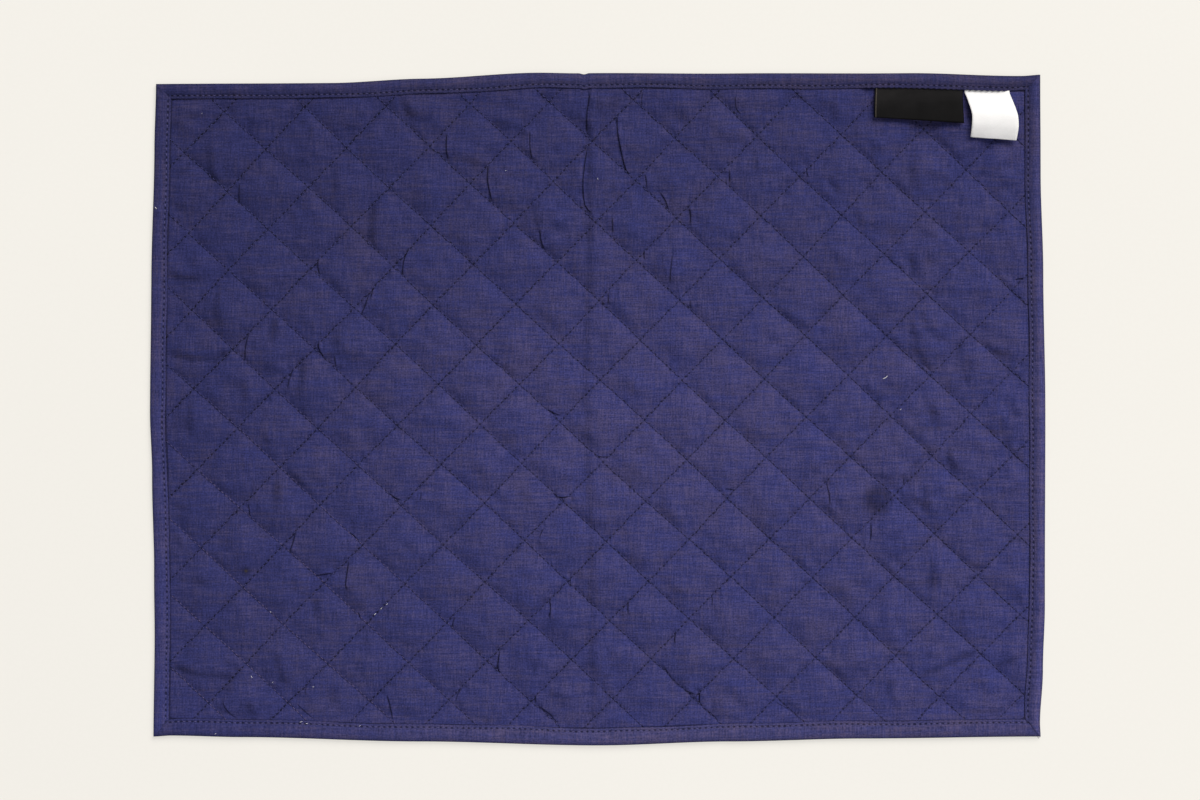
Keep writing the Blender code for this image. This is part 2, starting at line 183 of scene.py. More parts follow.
# Creases: soft troughs. Columns: x, y of each point in turn, then the depth.
CREASES = (
    (-163.9, 44.5, -163.6, 40.0, -164.4, 34.9, 0.5),
    (-179.1, 12.2, -179.0, 6.0, -179.9, -0.5, 0.4),
    (-206.0, -0.5, -205.6, -6.0, -206.4, -13.1, 0.42),
    (-150.4, 23.2, -150.6, 15.0, -151.8, 8.0, 0.5),
    (-193.4, 52.0, -192.9, 46.0, -191.7, 40.8, 0.4),
    (-163.0, -36.5, -163.2, -41.0, -163.9, -45.1, 0.42),
    (-131.9, 40.9, -132.8, 36.0, -134.4, 30.7, 0.36),
    (157.6, 47.0, 159.0, 40.0, 161.0, 33.0, 0.4),
    (182.0, 34.0, 183.4, 24.0, 187.0, 13.0, 0.4),
    (143.4, 7.0, 140.4, -2.0, 138.6, -11.0, 0.35),
    (168.8, 2.0, 170.4, -5.0, 173.6, -11.0, 0.42),
    (203.0, -5.0, 204.6, -12.0, 208.0, -19.5, 0.38),
    (159.0, -31.5, 164.0, -25.0, 170.0, -20.5, 0.38),
    (176.4, -20.5, 177.8, -28.0, 181.2, -35.0, 0.42),
    (160.5, 30.0, 164.0, 25.5, 168.0, 17.0, 0.38),
    (-4.8, 169.0, -4.8, 60.0, -6.3, 10.0, -4.0, -60.0, -2.3, -169.0, 0.36),
    (-99.3, 157.6, -97.6, 152.4, -94.2, 147.0, 0.8),
    (-196.9, 134.0, -196.4, 120.0, -193.6, 113.6, 0.55),
    (-148.4, 147.2, -149.6, 141.4, 0.45),
    (-145.0, 143.4, -146.6, 134.6, 0.4),
    (0.8, 160.8, 0.6, 148.6, 0.45),
    (6.6, 160.8, 7.6, 148.0, 0.4),
    (130.2, 146.4, 129.0, 139.4, 0.4),
    (-215.2, 116.2, -206.6, 122.0, 0.45),
    (-216.4, 102.6, -203.0, 100.4, 0.35),
    (-217.0, -48.8, -207.4, -51.2, 0.45),
    (-215.2, -60.4, -210.0, -72.4, 0.35),
    (-211.4, -86.4, -197.0, -88.6, 0.4),
    (-187.6, -141.2, -185.2, -145.0, 0.5),
    (-175.9, -148.4, -174.2, -157.2, 0.5),
    (199.2, 30.0, 206.8, 25.4, 0.4),
    (189.0, -80.2, 195.0, -81.6, 0.5),
    (189.2, -57.0, 194.6, -61.6, 0.35),
    (147.8, -136.6, 147.2, -144.6, 0.55),
    (-163.4, 45.9, -165.2, 33.3, 0.6),
    (-192.2, 60.0, -193.6, 43.9, 0.5),
    (-149.9, 25.2, -151.6, 4.4, 0.5),
    (158.6, 79.8, 159.8, 66.1, 0.55),
    (174.7, 80.8, 174.7, 74.7, 0.3),
    (170.1, 62.1, 170.1, 56.5, 0.3),
    (156.5, 35.3, 160.3, 27.7, 0.4),
    (-206.5, 3.4, -206.5, -13.8, 0.6),
    (-162.5, -36.5, -163.4, -52.7, 0.6),
    (165.1, -38.5, 165.3, -53.7, 0.65),
    (177.4, -20.5, 178.0, -29.2, 0.5),
    (-143.3, -96.2, -141.8, -103.2, -139.3, -110.3, 0.6),
    (-162.6, -124.6, -159.8, -138.8, 0.5),
    (-134.8, -140.6, -133.9, -150.6, 0.5),
    (169.1, -75.9, 168.9, -86.0, 167.4, -93.6, 0.65),
    (-4.8, 91.4, -4.8, 65.1, 0.4),
    (-6.3, 44.9, -7.3, 30.2, 0.35),
    (37.7, 89.4, 37.7, 75.7, 0.35),
    (118.6, 159.2, 119.1, 144.5, 0.35),
    (158.0, 124.0, 159.5, 111.7, 0.5),
    (-218.0, 27.6, -205.0, 25.0, -193.0, 24.6, -186.8, 28.7, 0.6),
    (-217.6, 66.8, -202.0, 65.1, 0.5),
    (-163.6, 24.7, -152.9, 27.7, 0.35),
    (-215.2, -130.8, -203.0, -134.2, -190.0, -135.8, -182.8, -136.4, 0.5),
    (-26.0, -144.2, -11.9, -146.2, 0.35),
    (164.1, -134.6, 174.0, -130.6, 191.4, -123.0, 0.6),
    (202.0, -130.0, 208.0, -127.8, 216.1, -123.6, 0.55),
    (208.0, -3.0, 217.5, -4.0, 0.3),
    (207.0, -41.0, 217.5, -43.0, 0.3),
    (-113.4, 103.4, -115.0, 94.0, -115.2, 81.0, 0.75),
    (-178.7, 16.6, -179.4, 4.4, 0.35),
    (-118.0, -114.4, -116.8, -124.5, 0.4),
    (-154.6, -84.8, -152.2, -93.4, 0.35),
    (-164.6, -76.6, -162.4, -82.4, 0.35),
    (-208.2, -121.0, -206.8, -126.0, 0.4),
    (179.6, -45.2, 187.0, -46.0, 0.4),
    (168.1, 1.4, 168.3, -7.4, 0.45),
    (163.6, 49.6, 167.4, 38.6, 173.0, 34.6, 0.45),
    (186.2, 26.2, 187.4, 18.2, 0.4),
    (79.0, 130.4, 80.2, 119.2, 0.5),
    (137.6, 95.4, 142.0, 87.4, 0.4),
    (117.2, 116.6, 122.0, 107.6, 0.45),
    (180.8, 99.8, 183.6, 94.4, 0.35),
    (54.9, 109.6, 54.2, 103.6, 0.4),
    (-32.2, 103.0, -30.9, 91.4, 0.45),
    (-155.6, 100.6, -154.2, 94.4, 0.35),
    (-133.0, 121.0, -133.4, 112.0, -134.4, 103.6, 0.4),
    (-165.8, 116.8, -164.4, 107.6, 0.35),
)


def to_metres(points):
    return (np.asarray(points, float) - MIDDLE) * MM


def smooth(value):
    value = np.clip(value, 0.0, 1.0)
    return value * value * (3.0 - 2.0 * value)


def eased(rows, shares):
    """Values at the shares along a table of (share, value) rows, eased between the rows."""
    starts = np.array([row[0] for row in rows])
    values = np.array([row[1] for row in rows])
    slot = np.clip(np.searchsorted(starts, shares, side="left") - 1, 0, len(rows) - 2)
    mix = smooth((shares - starts[slot]) / (starts[slot + 1] - starts[slot]))
    return values[slot] + (values[slot + 1] - values[slot]) * mix


def side_frame(side):
    start = CORNERS[side]
    chord = CORNERS[(side + 1) % 4] - start
    length = math.hypot(*chord)
    along = chord / length
    return start, along, np.array((along[1], -along[0])), length


SIDES = [side_frame(side) for side in range(4)]


def inset_corner(corner, share, extra):
    """Corner of the outline moved in by a share of each side's binding width plus an extra."""
    before = (corner - 1) % 4
    start, _, outward, _ = SIDES[corner]
    _, along_before, outward_before, _ = SIDES[before]
    moved = -outward_before * (share * BINDING_WIDTHS[before] + extra)
    inset = share * BINDING_WIDTHS[corner] + extra
    step = (-inset - moved.dot(outward)) / along_before.dot(outward)
    return start + moved + along_before * step


def ring_points(side, along_shares, share, extra):
    """Points on a ring inside the outline, on the given side at the given shares of its way along."""
    first = inset_corner(side, share, extra)
    last = inset_corner((side + 1) % 4, share, extra)
    _, _, outward, length = SIDES[side]
    ends = np.sin(math.pi * along_shares)
    wave = sum(np.sin(along_shares * length / wave_length + side) for wave_length in WAVE_LENGTHS)
    bow = eased(BOWS[side], along_shares) - share * BINDING_WAVE * wave * ends
    return first + np.outer(along_shares, last - first) + np.outer(bow, outward)


def side_depths(x, y):
    """Distance in from each side of the outline, one row per side."""
    depths = []
    for side, (start, along, outward, length) in enumerate(SIDES):
        off_x = x - start[0]
        off_y = y - start[1]
        shares = np.clip((off_x * along[0] + off_y * along[1]) / length, 0.0, 1.0)
        depths.append(eased(BOWS[side], shares) - off_x * outward[0] - off_y * outward[1])
    return np.array(depths)


def panel_depths(x, y):
    """Distance in from the binding's inner edge, one row per side."""
    return side_depths(x, y) - np.array(BINDING_WIDTHS)[:, None]


def free_share(x, y):
    """0 where the binding squeezes the panel flat, 1 where it is free to puff up."""
    return smooth((panel_depths(x, y).min(axis=0) - RIM_CLEAR) / SQUEEZE_REACH)


def seam_sway(seam, run, phase):
    """How far a seam stands off the even lattice, each a little differently."""
    return sum(reach * np.sin(along * run + across * seam + phase) for reach, along, across in SEAM_SWAYS)


HALF_SQUARE = math.sqrt(0.5)


def lattice_point(p, q):
    """Place of a quilting coordinate; seams run where p or q is a whole number."""
    i = p + q
    j = p - q
    place = [
        LATTICE_ORIGIN[axis]
        + HALF_ACROSS[axis] * i
        + HALF_DOWN[axis] * j
        + DRIFT_ACROSS[axis] * i * i
        + DRIFT_TWIST[axis] * i * j
        + DRIFT_DOWN[axis] * j * j
        for axis in range(2)
    ]
    rising = HALF_SQUARE * seam_sway(p, q, 0.0)
    falling = HALF_SQUARE * seam_sway(q, p, 2.0)
    return place[0] - rising + falling, place[1] + rising + falling


def cell_random(cell_p, cell_q, salt):
    """A steady number from 0 to 1 for each diamond."""
    raw = np.sin(cell_p * 127.1 + cell_q * 311.7 + salt * 74.7) * 43758.5453
    return raw - np.floor(raw)


def soft_noise(x, y, size, salt):
    """Smooth value noise from -1 to 1 with features of the given size."""
    u = x / size
    v = y / size
    cell_u = np.floor(u)
    cell_v = np.floor(v)
    mix_u = smooth(u - cell_u)
    mix_v = smooth(v - cell_v)
    low = cell_random(cell_u, cell_v, salt) * (1 - mix_u) + cell_random(cell_u + 1, cell_v, salt) * mix_u
    high = cell_random(cell_u, cell_v + 1, salt) * (1 - mix_u)
    high = high + cell_random(cell_u + 1, cell_v + 1, salt) * mix_u
    return 2.0 * (low * (1 - mix_v) + high * mix_v) - 1.0


# Relief of the face cloth: heights, widths and distances in millimetres.
CROWN_LEAN = 0.6
WIDE_DENT = 0.6
SMALL_DENT = 0.75
WRINKLE_HEIGHT = 0.3
DRAG_HEIGHT = 0.28
PUCKER_HEIGHT = 0.25
PUCKER_AWAY = 1.6
PUCKER_SPREAD = 1.8
STITCHES_PER_PUCKER = 2.6


def pillow(share):
    return 1.0 - np.abs(2.0 * share - 1.0) ** CROWN_FULLNESS


def streaks(u, v, stretch, size, salt):
    """Noise drawn out along both directions."""
    return soft_noise(u, stretch * v, size, salt) + soft_noise(stretch * u, v, size, salt + 1)


def panel_top(x, y, p, q):
    """Height of the quilted face without tucks and creases."""
    cell_p = np.floor(p + 1e-6)
    cell_q = np.floor(q + 1e-6)
    puff = 1.0
    for place, cell, salt in ((p, cell_p, 1), (q, cell_q, 2)):
        share = np.clip(place - cell, 0.0, 1.0)
        lean = CROWN_LEAN * (cell_random(cell_p, cell_q, salt) - 0.5)
        puff = puff * pillow(share + lean * share * (1.0 - share))
    puff = np.clip(puff, 0.0, 1.0) ** CROWN_SHARPNESS
    uneven = sum(np.sin(turn_p * cell_p + turn_q * cell_q) for turn_p, turn_q in CROWN_TURNS)
    height = SEAM_HEIGHT + (CROWN_HEIGHT - SEAM_HEIGHT) * puff * (1.0 + CROWN_VARIATION * uneven)
    dents = WIDE_DENT * soft_noise(x, y, 11.0, 3) + SMALL_DENT * soft_noise(x, y, 5.6, 4)
    wrinkles = streaks(x, y, 0.4, 3.6, 7)
    drags = streaks((x + y) * HALF_SQUARE, (x - y) * HALF_SQUARE, 0.35, 3.2, 9)
    ruffles = WRINKLE_HEIGHT * (0.4 + 0.6 * puff) * wrinkles + DRAG_HEIGHT * drags
    # The ruffles grow towards the far and the right side, and most on the right.
    outward = 1.0 + 0.3 * np.clip((np.maximum(x, y) - 60.0) / 60.0, 0.0, 1.0)
    outward = outward + 0.4 * np.clip((x - 60.0) / 90.0, 0.0, 1.0)
    height = height + puff * dents + outward * ruffles
    return FOLD_LEVEL + (height - FOLD_LEVEL) * free_share(x, y)


def seam_gap(coordinate):
    """Distance in millimetres from the nearest seam of one family."""
    return np.abs(coordinate - np.round(coordinate)) * SEAM_SPACING


def seam_puckers(x, y, p, q):
    """Small ripples square to the seams, dying out away from them."""
    puckers = 0.0
    for seam, run, salt in ((p, q, 5), (q, p, 6)):
        turn = 2.0 * math.pi * run * STITCHES_PER_CELL / STITCHES_PER_PUCKER
        ripple = np.sin(turn + 3.0 * soft_noise(x, y, 9.0, salt))
        puckers = puckers + ripple * np.exp(-(((seam_gap(seam) - PUCKER_AWAY) / PUCKER_SPREAD) ** 2))
    return PUCKER_HEIGHT * puckers


def line_distances(x, y, points):
    """Signed distance to a polyline, positive on its left, and the share of the way along it."""
    best = np.full(x.shape, 1e9)
    side = np.zeros(x.shape)
    along_share = np.zeros(x.shape)
    normal_x = np.zeros(x.shape)
    normal_y = np.zeros(x.shape)
    lengths = [math.hypot(b[0] - a[0], b[1] - a[1]) for a, b in zip(points, points[1:])]
    total = sum(lengths)
    done = 0.0
    for (start, end), length in zip(zip(points, points[1:]), lengths):
        unit = ((end[0] - start[0]) / length, (end[1] - start[1]) / length)
        off_x = x - start[0]
        off_y = y - start[1]
        along = off_x * unit[0] + off_y * unit[1]
        held = np.clip(along, 0.0, length)
        gap = np.hypot(off_x - held * unit[0], off_y - held * unit[1])
        cross = unit[0] * off_y - unit[1] * off_x
        nearer = gap < best
        best = np.where(nearer, gap, best)
        side = np.where(nearer, np.where(cross >= 0, 1.0, -1.0), side)
        along_share = np.where(nearer, (done + along) / total, along_share)
        normal_x = np.where(nearer, -unit[1], normal_x)
        normal_y = np.where(nearer, unit[0], normal_y)
        done += length
    return best * side, along_share, total, normal_x, normal_y


# Tucks and creases, in millimetres. A tuck's REACH is how far from its line it is worked out, its PULL
# how far from the line cloth is drawn in, and its FADE the length of its soft ends.
TUCK_REACH = 9.0
TUCK_PULL = 2.4
TUCK_SQUEEZE = 0.78
TUCK_CUTS = 3
TUCK_RISE = 0.42
TUCK_RISE_SPREAD = 2.2
TUCK_DROP = 0.42
TUCK_DROP_SPREAD = 1.3
TUCK_BEND = 0.07
TUCK_POINTS = 9
TUCK_FADE = 3.2
# Width of the painted shade line along a tuck.
TUCK_SHADE_WIDTH = 0.3
CREASE_WIDTH = 1.35
CREASE_DEPTH = 1.5
# Darkest painted shade in a crease's trough.
CREASE_SHADE_DARKEST = 0.42
CREASE_LIP_AWAY = 3.2
CREASE_LIP_WIDTH = 2.0


def spline(rows, steps):
    """Catmull-Rom curve through the rows of numbers."""
    rows = np.asarray(rows, float)
    padded = np.vstack([2 * rows[0] - rows[1], rows, 2 * rows[-1] - rows[-2]])
    places = np.linspace(0.0, len(rows) - 1.0, steps)
    slot = np.minimum(places.astype(int), len(rows) - 2)
    t = (places - slot)[:, None]
    a, b, c, d = (padded[slot + k] for k in range(4))
    return 0.5 * (
        2 * b + (c - a) * t + (2 * a - 5 * b + 4 * c - d) * t ** 2 + (3 * b - a - 3 * c + d) * t ** 3
    )


def row_points(row):
    return np.array(row[:-1]).reshape(-1, 2) + (DRAWN_SHIFT, 0.0)


def tuck_line(row):
    """Points of a tuck's line, bent gently where only its two ends are given."""
    points = row_points(row)
    if len(points) == 2:
        run = points[1] - points[0]
        bend = TUCK_BEND * math.sin(3.0 * row[0] + 5.0 * row[1])
        points = np.array((points[0], points.mean(axis=0) + bend * np.array((-run[1], run[0])), points[1]))
    return spline(points, TUCK_POINTS).tolist()


def bell(away, width):
    return np.exp(-((away / width) ** 2))


def press_tucks(x, y, z, painted_shade):
    """Draw the sheet in at each tuck, raise one side of its line and sink the other, and paint shade along
    the line.
    """
    for row in TUCKS:
        points = tuck_line(row)
        depth = row[-1]
        xs, ys = zip(*points)
        near = (x > min(xs) - TUCK_REACH) & (x < max(xs) + TUCK_REACH)
        near &= (y > min(ys) - TUCK_REACH) & (y < max(ys) + TUCK_REACH)
        if not near.any():
            continue
        part_x = x[near]
        part_y = y[near]
        away, share, total, normal_x, normal_y = line_distances(part_x, part_y, points)
        end_gap = np.minimum(share, 1.0 - share) * total
        hold = smooth(end_gap / min(TUCK_FADE, 0.4 * total) + 0.12)
        pull = np.where(np.abs(away) < TUCK_PULL, np.abs(away) / TUCK_PULL, 1.0)
        shift = away * TUCK_SQUEEZE * (pull - 1.0) * hold
        x[near] = part_x + normal_x * shift
        y[near] = part_y + normal_y * shift
        now = away + shift
        raised = TUCK_RISE * np.exp(-np.maximum(now, 0.0) / TUCK_RISE_SPREAD)
        sunk = -TUCK_DROP * np.exp(np.minimum(now, 0.0) / TUCK_DROP_SPREAD)
        z[near] += depth * hold * np.where(now >= 0.0, raised, sunk)
        line = bell(now + 0.1, TUCK_SHADE_WIDTH) * hold * min(1.0, 0.15 + 0.7 * depth)
        painted_shade[near] = np.maximum(painted_shade[near], line)


def press_creases(x, y, z, painted_shade):
    """Sink a soft trough along each crease, with a low lip beside it, and paint shade in the trough."""
    for row in CREASES:
        depth = row[-1]
        away, share, total, _, _ = line_distances(x, y, row_points(row).tolist())
        end_gap = np.minimum(share, 1.0 - share) * total
        hold = smooth((end_gap + 1.5) / 4.0)
        trough = bell(away, CREASE_WIDTH)
        lip = 0.5 * bell(away - CREASE_LIP_AWAY, CREASE_LIP_WIDTH)
        z -= CREASE_DEPTH * depth * hold * (trough - lip)
        np.maximum(painted_shade, min(CREASE_SHADE_DARKEST, 0.7 * depth) * hold * trough, out=painted_shade)


def apply_tucks(x, y, z):
    """Press the tucks and creases into the sheet, and return the painted shade of each point."""
    painted_shade = np.zeros(x.shape)
    press_tucks(x, y, z, painted_shade)
    press_creases(x, y, z, painted_shade)
    return painted_shade


# ---------------------------------------------------------------- mesh helpers
def make_object(name, points, faces, material, smooth_faces=True):
    mesh = bpy.data.meshes.new(name)
    mesh.from_pydata(to_metres(points).tolist(), [], [tuple(int(k) for k in face) for face in faces])
    mesh.update()
    if smooth_faces:
        mesh.polygons.foreach_set("use_smooth", [True] * len(mesh.polygons))
    mesh.materials.append(material)
    result = bpy.data.objects.new(name, mesh)
    bpy.context.scene.collection.objects.link(result)
    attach(result, "root")
    return result


def add_uv(piece, name, values):
    """A UV layer from one pair of values per vertex."""
    mesh = piece.data
    layer = mesh.uv_layers.new(name=name)
    loops = np.empty(len(mesh.loops), dtype=np.int64)
    mesh.loops.foreach_get("vertex_index", loops)
    layer.data.foreach_set("uv", np.asarray(values, dtype=np.float32)[loops].ravel())


def add_value(piece, name, values):
    """A grey value per vertex for the material."""
    layer = piece.data.attributes.new(name, "FLOAT", "POINT")
    layer.data.foreach_set("value", np.asarray(values, dtype=np.float32))


# ---------------------------------------------------------------- materials
class Level:
    """A value or colour in a material's node tree. Sums and products of levels are levels too."""

    def __init__(self, wires, socket):
        self.wires = wires
        self.socket = socket

    def __add__(self, other):
        return self.wires.math("ADD", self, other)

    def __sub__(self, other):
        return self.wires.math("SUBTRACT", self, other)

    def __rsub__(self, other):
        return self.wires.math("SUBTRACT", other, self)

    def __mul__(self, other):
        return self.wires.math("MULTIPLY", self, other)

    def __truediv__(self, other):
        return self.wires.math("DIVIDE", self, other)

    def __abs__(self):
        return self.wires.math("ABSOLUTE", self)

    __radd__ = __add__
    __rmul__ = __mul__


class Wires:
    """Short hand for building one material's node tree. An input is a level or a plain value."""

    def __init__(self, name):
        self.material = bpy.data.materials.new(name)
        self.material.use_nodes = True
        self.tree = self.material.node_tree

    def put(self, socket, value):
        if isinstance(value, Level):
            self.tree.links.new(value.socket, socket)
        else:
            socket.default_value = value

    def new(self, kind, inputs=(), operation=None):
        """A new node. Its inputs are pairs of a socket's name or number and what goes in."""
        node = self.tree.nodes.new("ShaderNode" + kind)
        if operation:
            node.operation = operation
        for socket, value in inputs:
            self.put(node.inputs[socket], value)
        return node

    def math(self, operation, *values):
        return Level(self, self.new("Math", enumerate(values), operation).outputs[0])

    def place(self):
        """Place on the mat in metres, in the frame of the part."""
        return Level(self, self.new("TexCoord").outputs["Object"])

    def uv(self, name):
        node = self.new("UVMap")
        node.uv_map = name
        return Level(self, node.outputs[0])

    def value(self, name):
        node = self.new("Attribute")
        node.attribute_name = name
        return Level(self, node.outputs["Fac"])

    def split(self, vector):
        node = self.new("SeparateXYZ", [(0, vector)])
        return Level(self, node.outputs[0]), Level(self, node.outputs[1])

    def scaled(self, vector, factors):
        return Level(self, self.new("VectorMath", [(0, vector), (1, factors)], "MULTIPLY").outputs[0])

    def noise(self, vector, fineness, detail=2.0, roughness=0.5):
        """Noise from 0 to 1. Its fineness, in grains a metre, is one number or one for each way."""
        factors = (*fineness, 0.0) if isinstance(fineness, tuple) else (fineness,) * 3
        settings = (("Scale", 1.0), ("Detail", detail), ("Roughness", roughness))
        node = self.new("TexNoise", (("Vector", self.scaled(vector, factors)), *settings))
        return Level(self, node.outputs["Fac"])

    def ramp(self, value, low, high, from_value=0.0, to_value=1.0):
        """From one value to the other, eased, as the given value goes from low to high."""
        node = self.new("MapRange", enumerate((value, low, high, from_value, to_value)))
        node.interpolation_type = "SMOOTHSTEP"
        return Level(self, node.outputs[0])

    def mix(self, share, first, second):
        node = self.new("Mix")
        node.data_type = "RGBA"
        for socket, value in ((0, share), (6, first), (7, second)):
            self.put(node.inputs[socket], value)
        return Level(self, node.outputs[2])

    def dim(self, colour, factor):
        colour = colour if isinstance(colour, Level) else colour[:3]
        return Level(self, self.new("VectorMath", [(0, colour), ("Scale", factor)], "SCALE").outputs[0])

    def spot(self, vector, place, radius, soft):
        """1 inside a round spot on the cloth, falling to 0 over its soft rim."""
        middle = ((place[0] + DRAWN_SHIFT) * MM, place[1] * MM, 0.0)
        away = Level(self, self.new("VectorMath", [(0, vector), (1, middle)], "DISTANCE").outputs["Value"])
        return self.ramp(away, (radius + soft) * MM, max(0.0, radius - soft) * MM)

    def finish(self, inputs, relief=None):
        """The material, once its shader has the given inputs and a relief in millimetres."""
        if relief is not None:
            bump = self.new("Bump", [("Strength", 1.0), ("Distance", MM), ("Height", relief)])
            inputs["Normal"] = Level(self, bump.outputs[0])
        for name, value in inputs.items():
            self.put(self.tree.nodes["Principled BSDF"].inputs[name], value)
        return self.material


BLUE = (0.0290, 0.0320, 0.126, 1.0)
PURPLE = (0.0480, 0.0420, 0.112, 1.0)
SHEEN_VIOLET = (0.42, 0.40, 0.62, 1.0)
THREAD_NAVY = (0.043, 0.043, 0.130, 1.0)
EDGE_THREAD_NAVY = (0.075, 0.068, 0.165, 1.0)
PALE_THREAD = (0.13, 0.095, 0.17, 1.0)
LABEL_BLACK = (0.0058, 0.0054, 0.0056, 1.0)
LABEL_WHITE = (0.80, 0.79, 0.78, 1.0)
FOLD_HIGHLIGHT_BEIGE = (0.22, 0.19, 0.15, 1.0)
SPECK_BROWN = (0.040, 0.032, 0.030, 1.0)
LINT_WHITE = (0.72, 0.70, 0.74, 1.0)
PAINTED_WARMTH_TINT = (1.1, 1.0, 0.75)

# Relief in millimetres.
WEAVE_PITCH = 0.38
WEAVE_RELIEF = 0.012
SLUB_RELIEF = 0.05
GRAIN_RELIEF = 0.03
HOLE_DEPTH = 0.28
EDGE_HOLE_DEPTH = 0.26

QUILTING_STITCH = 2.63
EDGE_STITCH = 2.85
HOLE_STRETCH = 0.6
HOLE_JITTER = 260.0
SEAM_WANDER = 1.5

# How dark the painted shade in the line of a rising and of a falling seam is, and its share in the painted
# soft shadow beside it.
RISING_LINE = 0.46
FALLING_LINE = 0.37
BESIDE_SEAM = 0.12

# Marks on the face: a soft blotch, a faint ring, and a brown speck with a halo.
BLOTCH_PLACE = (141.7, -46.2)
RING_PLACE = (21.0, -21.3)
SPECK_PLACE = (-177.7, -82.0)


def weave_and_slubs(wires, cloth):
    """Weave height in millimetres, share of the warmer yarn, grain, mottling and slubs."""
    across, along = wires.split(cloth)
    turn = 2.0 * math.pi / (WEAVE_PITCH * MM)
    weave = wires.math("SINE", across * turn) * wires.math("SINE", along * turn)
    slubs = wires.noise(cloth, (110.0, 1500.0)) + wires.noise(cloth, (1500.0, 110.0)) - 1.0
    bands = wires.noise(cloth, (38.0, 620.0)) + 0.6 * wires.noise(cloth, (700.0, 60.0)) - 0.8
    grain = wires.noise(cloth, 1250.0, 1.0)
    mottle = wires.noise(cloth, 70.0, 3.0, 0.55)
    cast = wires.noise(cloth, 21.0, 1.0)
    height = WEAVE_RELIEF * weave + SLUB_RELIEF * slubs + GRAIN_RELIEF * grain
    warm = 0.42 + 0.8 * slubs + 1.5 * bands
    warm = warm + 0.55 * (grain - 0.5) + 0.9 * (mottle - 0.5) + 0.5 * (cast - 0.5)
    return height, warm, grain, mottle, slubs


def cotton_colour(wires, cloth, warm, grain, slubs):
    """Blue yarn shot with purple, warmer in the middle and on the right; its brightness carries painted
    sheen, lighter in the middle and paler on the near right.
    """
    across, along = wires.split(cloth)
    reach = across * across * (1.0 / 0.14 ** 2) + along * along * (1.0 / 0.09 ** 2)
    middle = wires.math("POWER", math.e, -1.0 * reach)
    share = wires.ramp(warm - 0.07 + 0.17 * middle + 0.3 * across, 0.0, 1.0)
    # Painted sheen: the colour is lighter in the middle, towards the right and towards the near side.
    painted_sheen = (1.005 + 0.55 * across - 0.76 * along) * (0.83 + 0.17 * middle)
    light = 1.0 + 1.25 * (grain - 0.5) + 0.85 * slubs
    return wires.dim(wires.mix(share, BLUE, PURPLE), light * painted_sheen)


def finish_cotton(wires, colour, height):
    inputs = {
        "Base Color": colour,
        "Roughness": 0.92,
        "Specular IOR Level": 0.12,
        "Sheen Weight": 0.12,
        "Sheen Roughness": 0.45,
        "Sheen Tint": SHEEN_VIOLET,
    }
    return wires.finish(inputs, height)


def near_left(wires, across, along):
    """0 over most of the mat, rising to 1 at its near left."""
    return wires.ramp(across, 0.00, -0.18) * wires.ramp(along, 0.04, -0.08)


def hole_distance(wires, away, stitches, pitch):
    """Distance in millimetres from the nearest needle hole of a row. Holes are longer along the row."""
    step = abs(wires.math("FRACT", stitches + 0.5) - 0.5) * pitch
    return wires.math("SQRT", away * away + step * step * HOLE_STRETCH)


def seam_marks(wires, cloth):
    """How deep each place is in a needle hole, and how dark the painted shade in the line of a seam is; the
    holes are painted dark as well.
    """
    across, along = wires.split(cloth)
    p, q = wires.split(wires.uv("lattice"))
    size = 0.05 + 0.8 * wires.noise(cloth, HOLE_JITTER, 1.0)
    patch = wires.noise(cloth, 140.0, 2.0, 0.6)
    wander = wires.noise(cloth, 330.0, 1.0)
    uneven = wires.noise(cloth, 45.0, 1.0)
    rising = wires.ramp(uneven, 0.3, 0.7, 0.65, 1.35) * (1.0 - 1.2 * across)
    falling = wires.ramp(uneven, 0.3, 0.7, 1.35, 0.65) * (1.0 + 1.5 * across)
    holes = []
    lines = []
    for seam, run, sink, drawn in ((p, q, RISING_LINE, rising), (q, p, FALLING_LINE, falling)):
        off = wires.math("FRACT", seam + 0.5) - 0.5
        away = abs(off * SEAM_SPACING + (wander - 0.5) * SEAM_WANDER)
        reach = hole_distance(wires, away, run * float(STITCHES_PER_CELL), QUILTING_STITCH)
        holes.append(wires.ramp(reach / size, 1.25, 0.35) * wires.ramp(patch, 0.25, 0.6, 0.55, 1.0))
        line = wires.ramp(away, 0.6, 0.1) * wires.ramp(patch, 0.7, 0.35, 0.5, 1.0)
        beside = wires.ramp(away, 2.8, 0.2) * (BESIDE_SEAM * sink)
        lines.append(wires.math("MAXIMUM", beside, line * sink) * drawn)
    holes[1] = holes[1] * (1.0 - 0.35 * near_left(wires, across, along))
    return wires.math("MAXIMUM", *holes), wires.math("MAXIMUM", *lines)


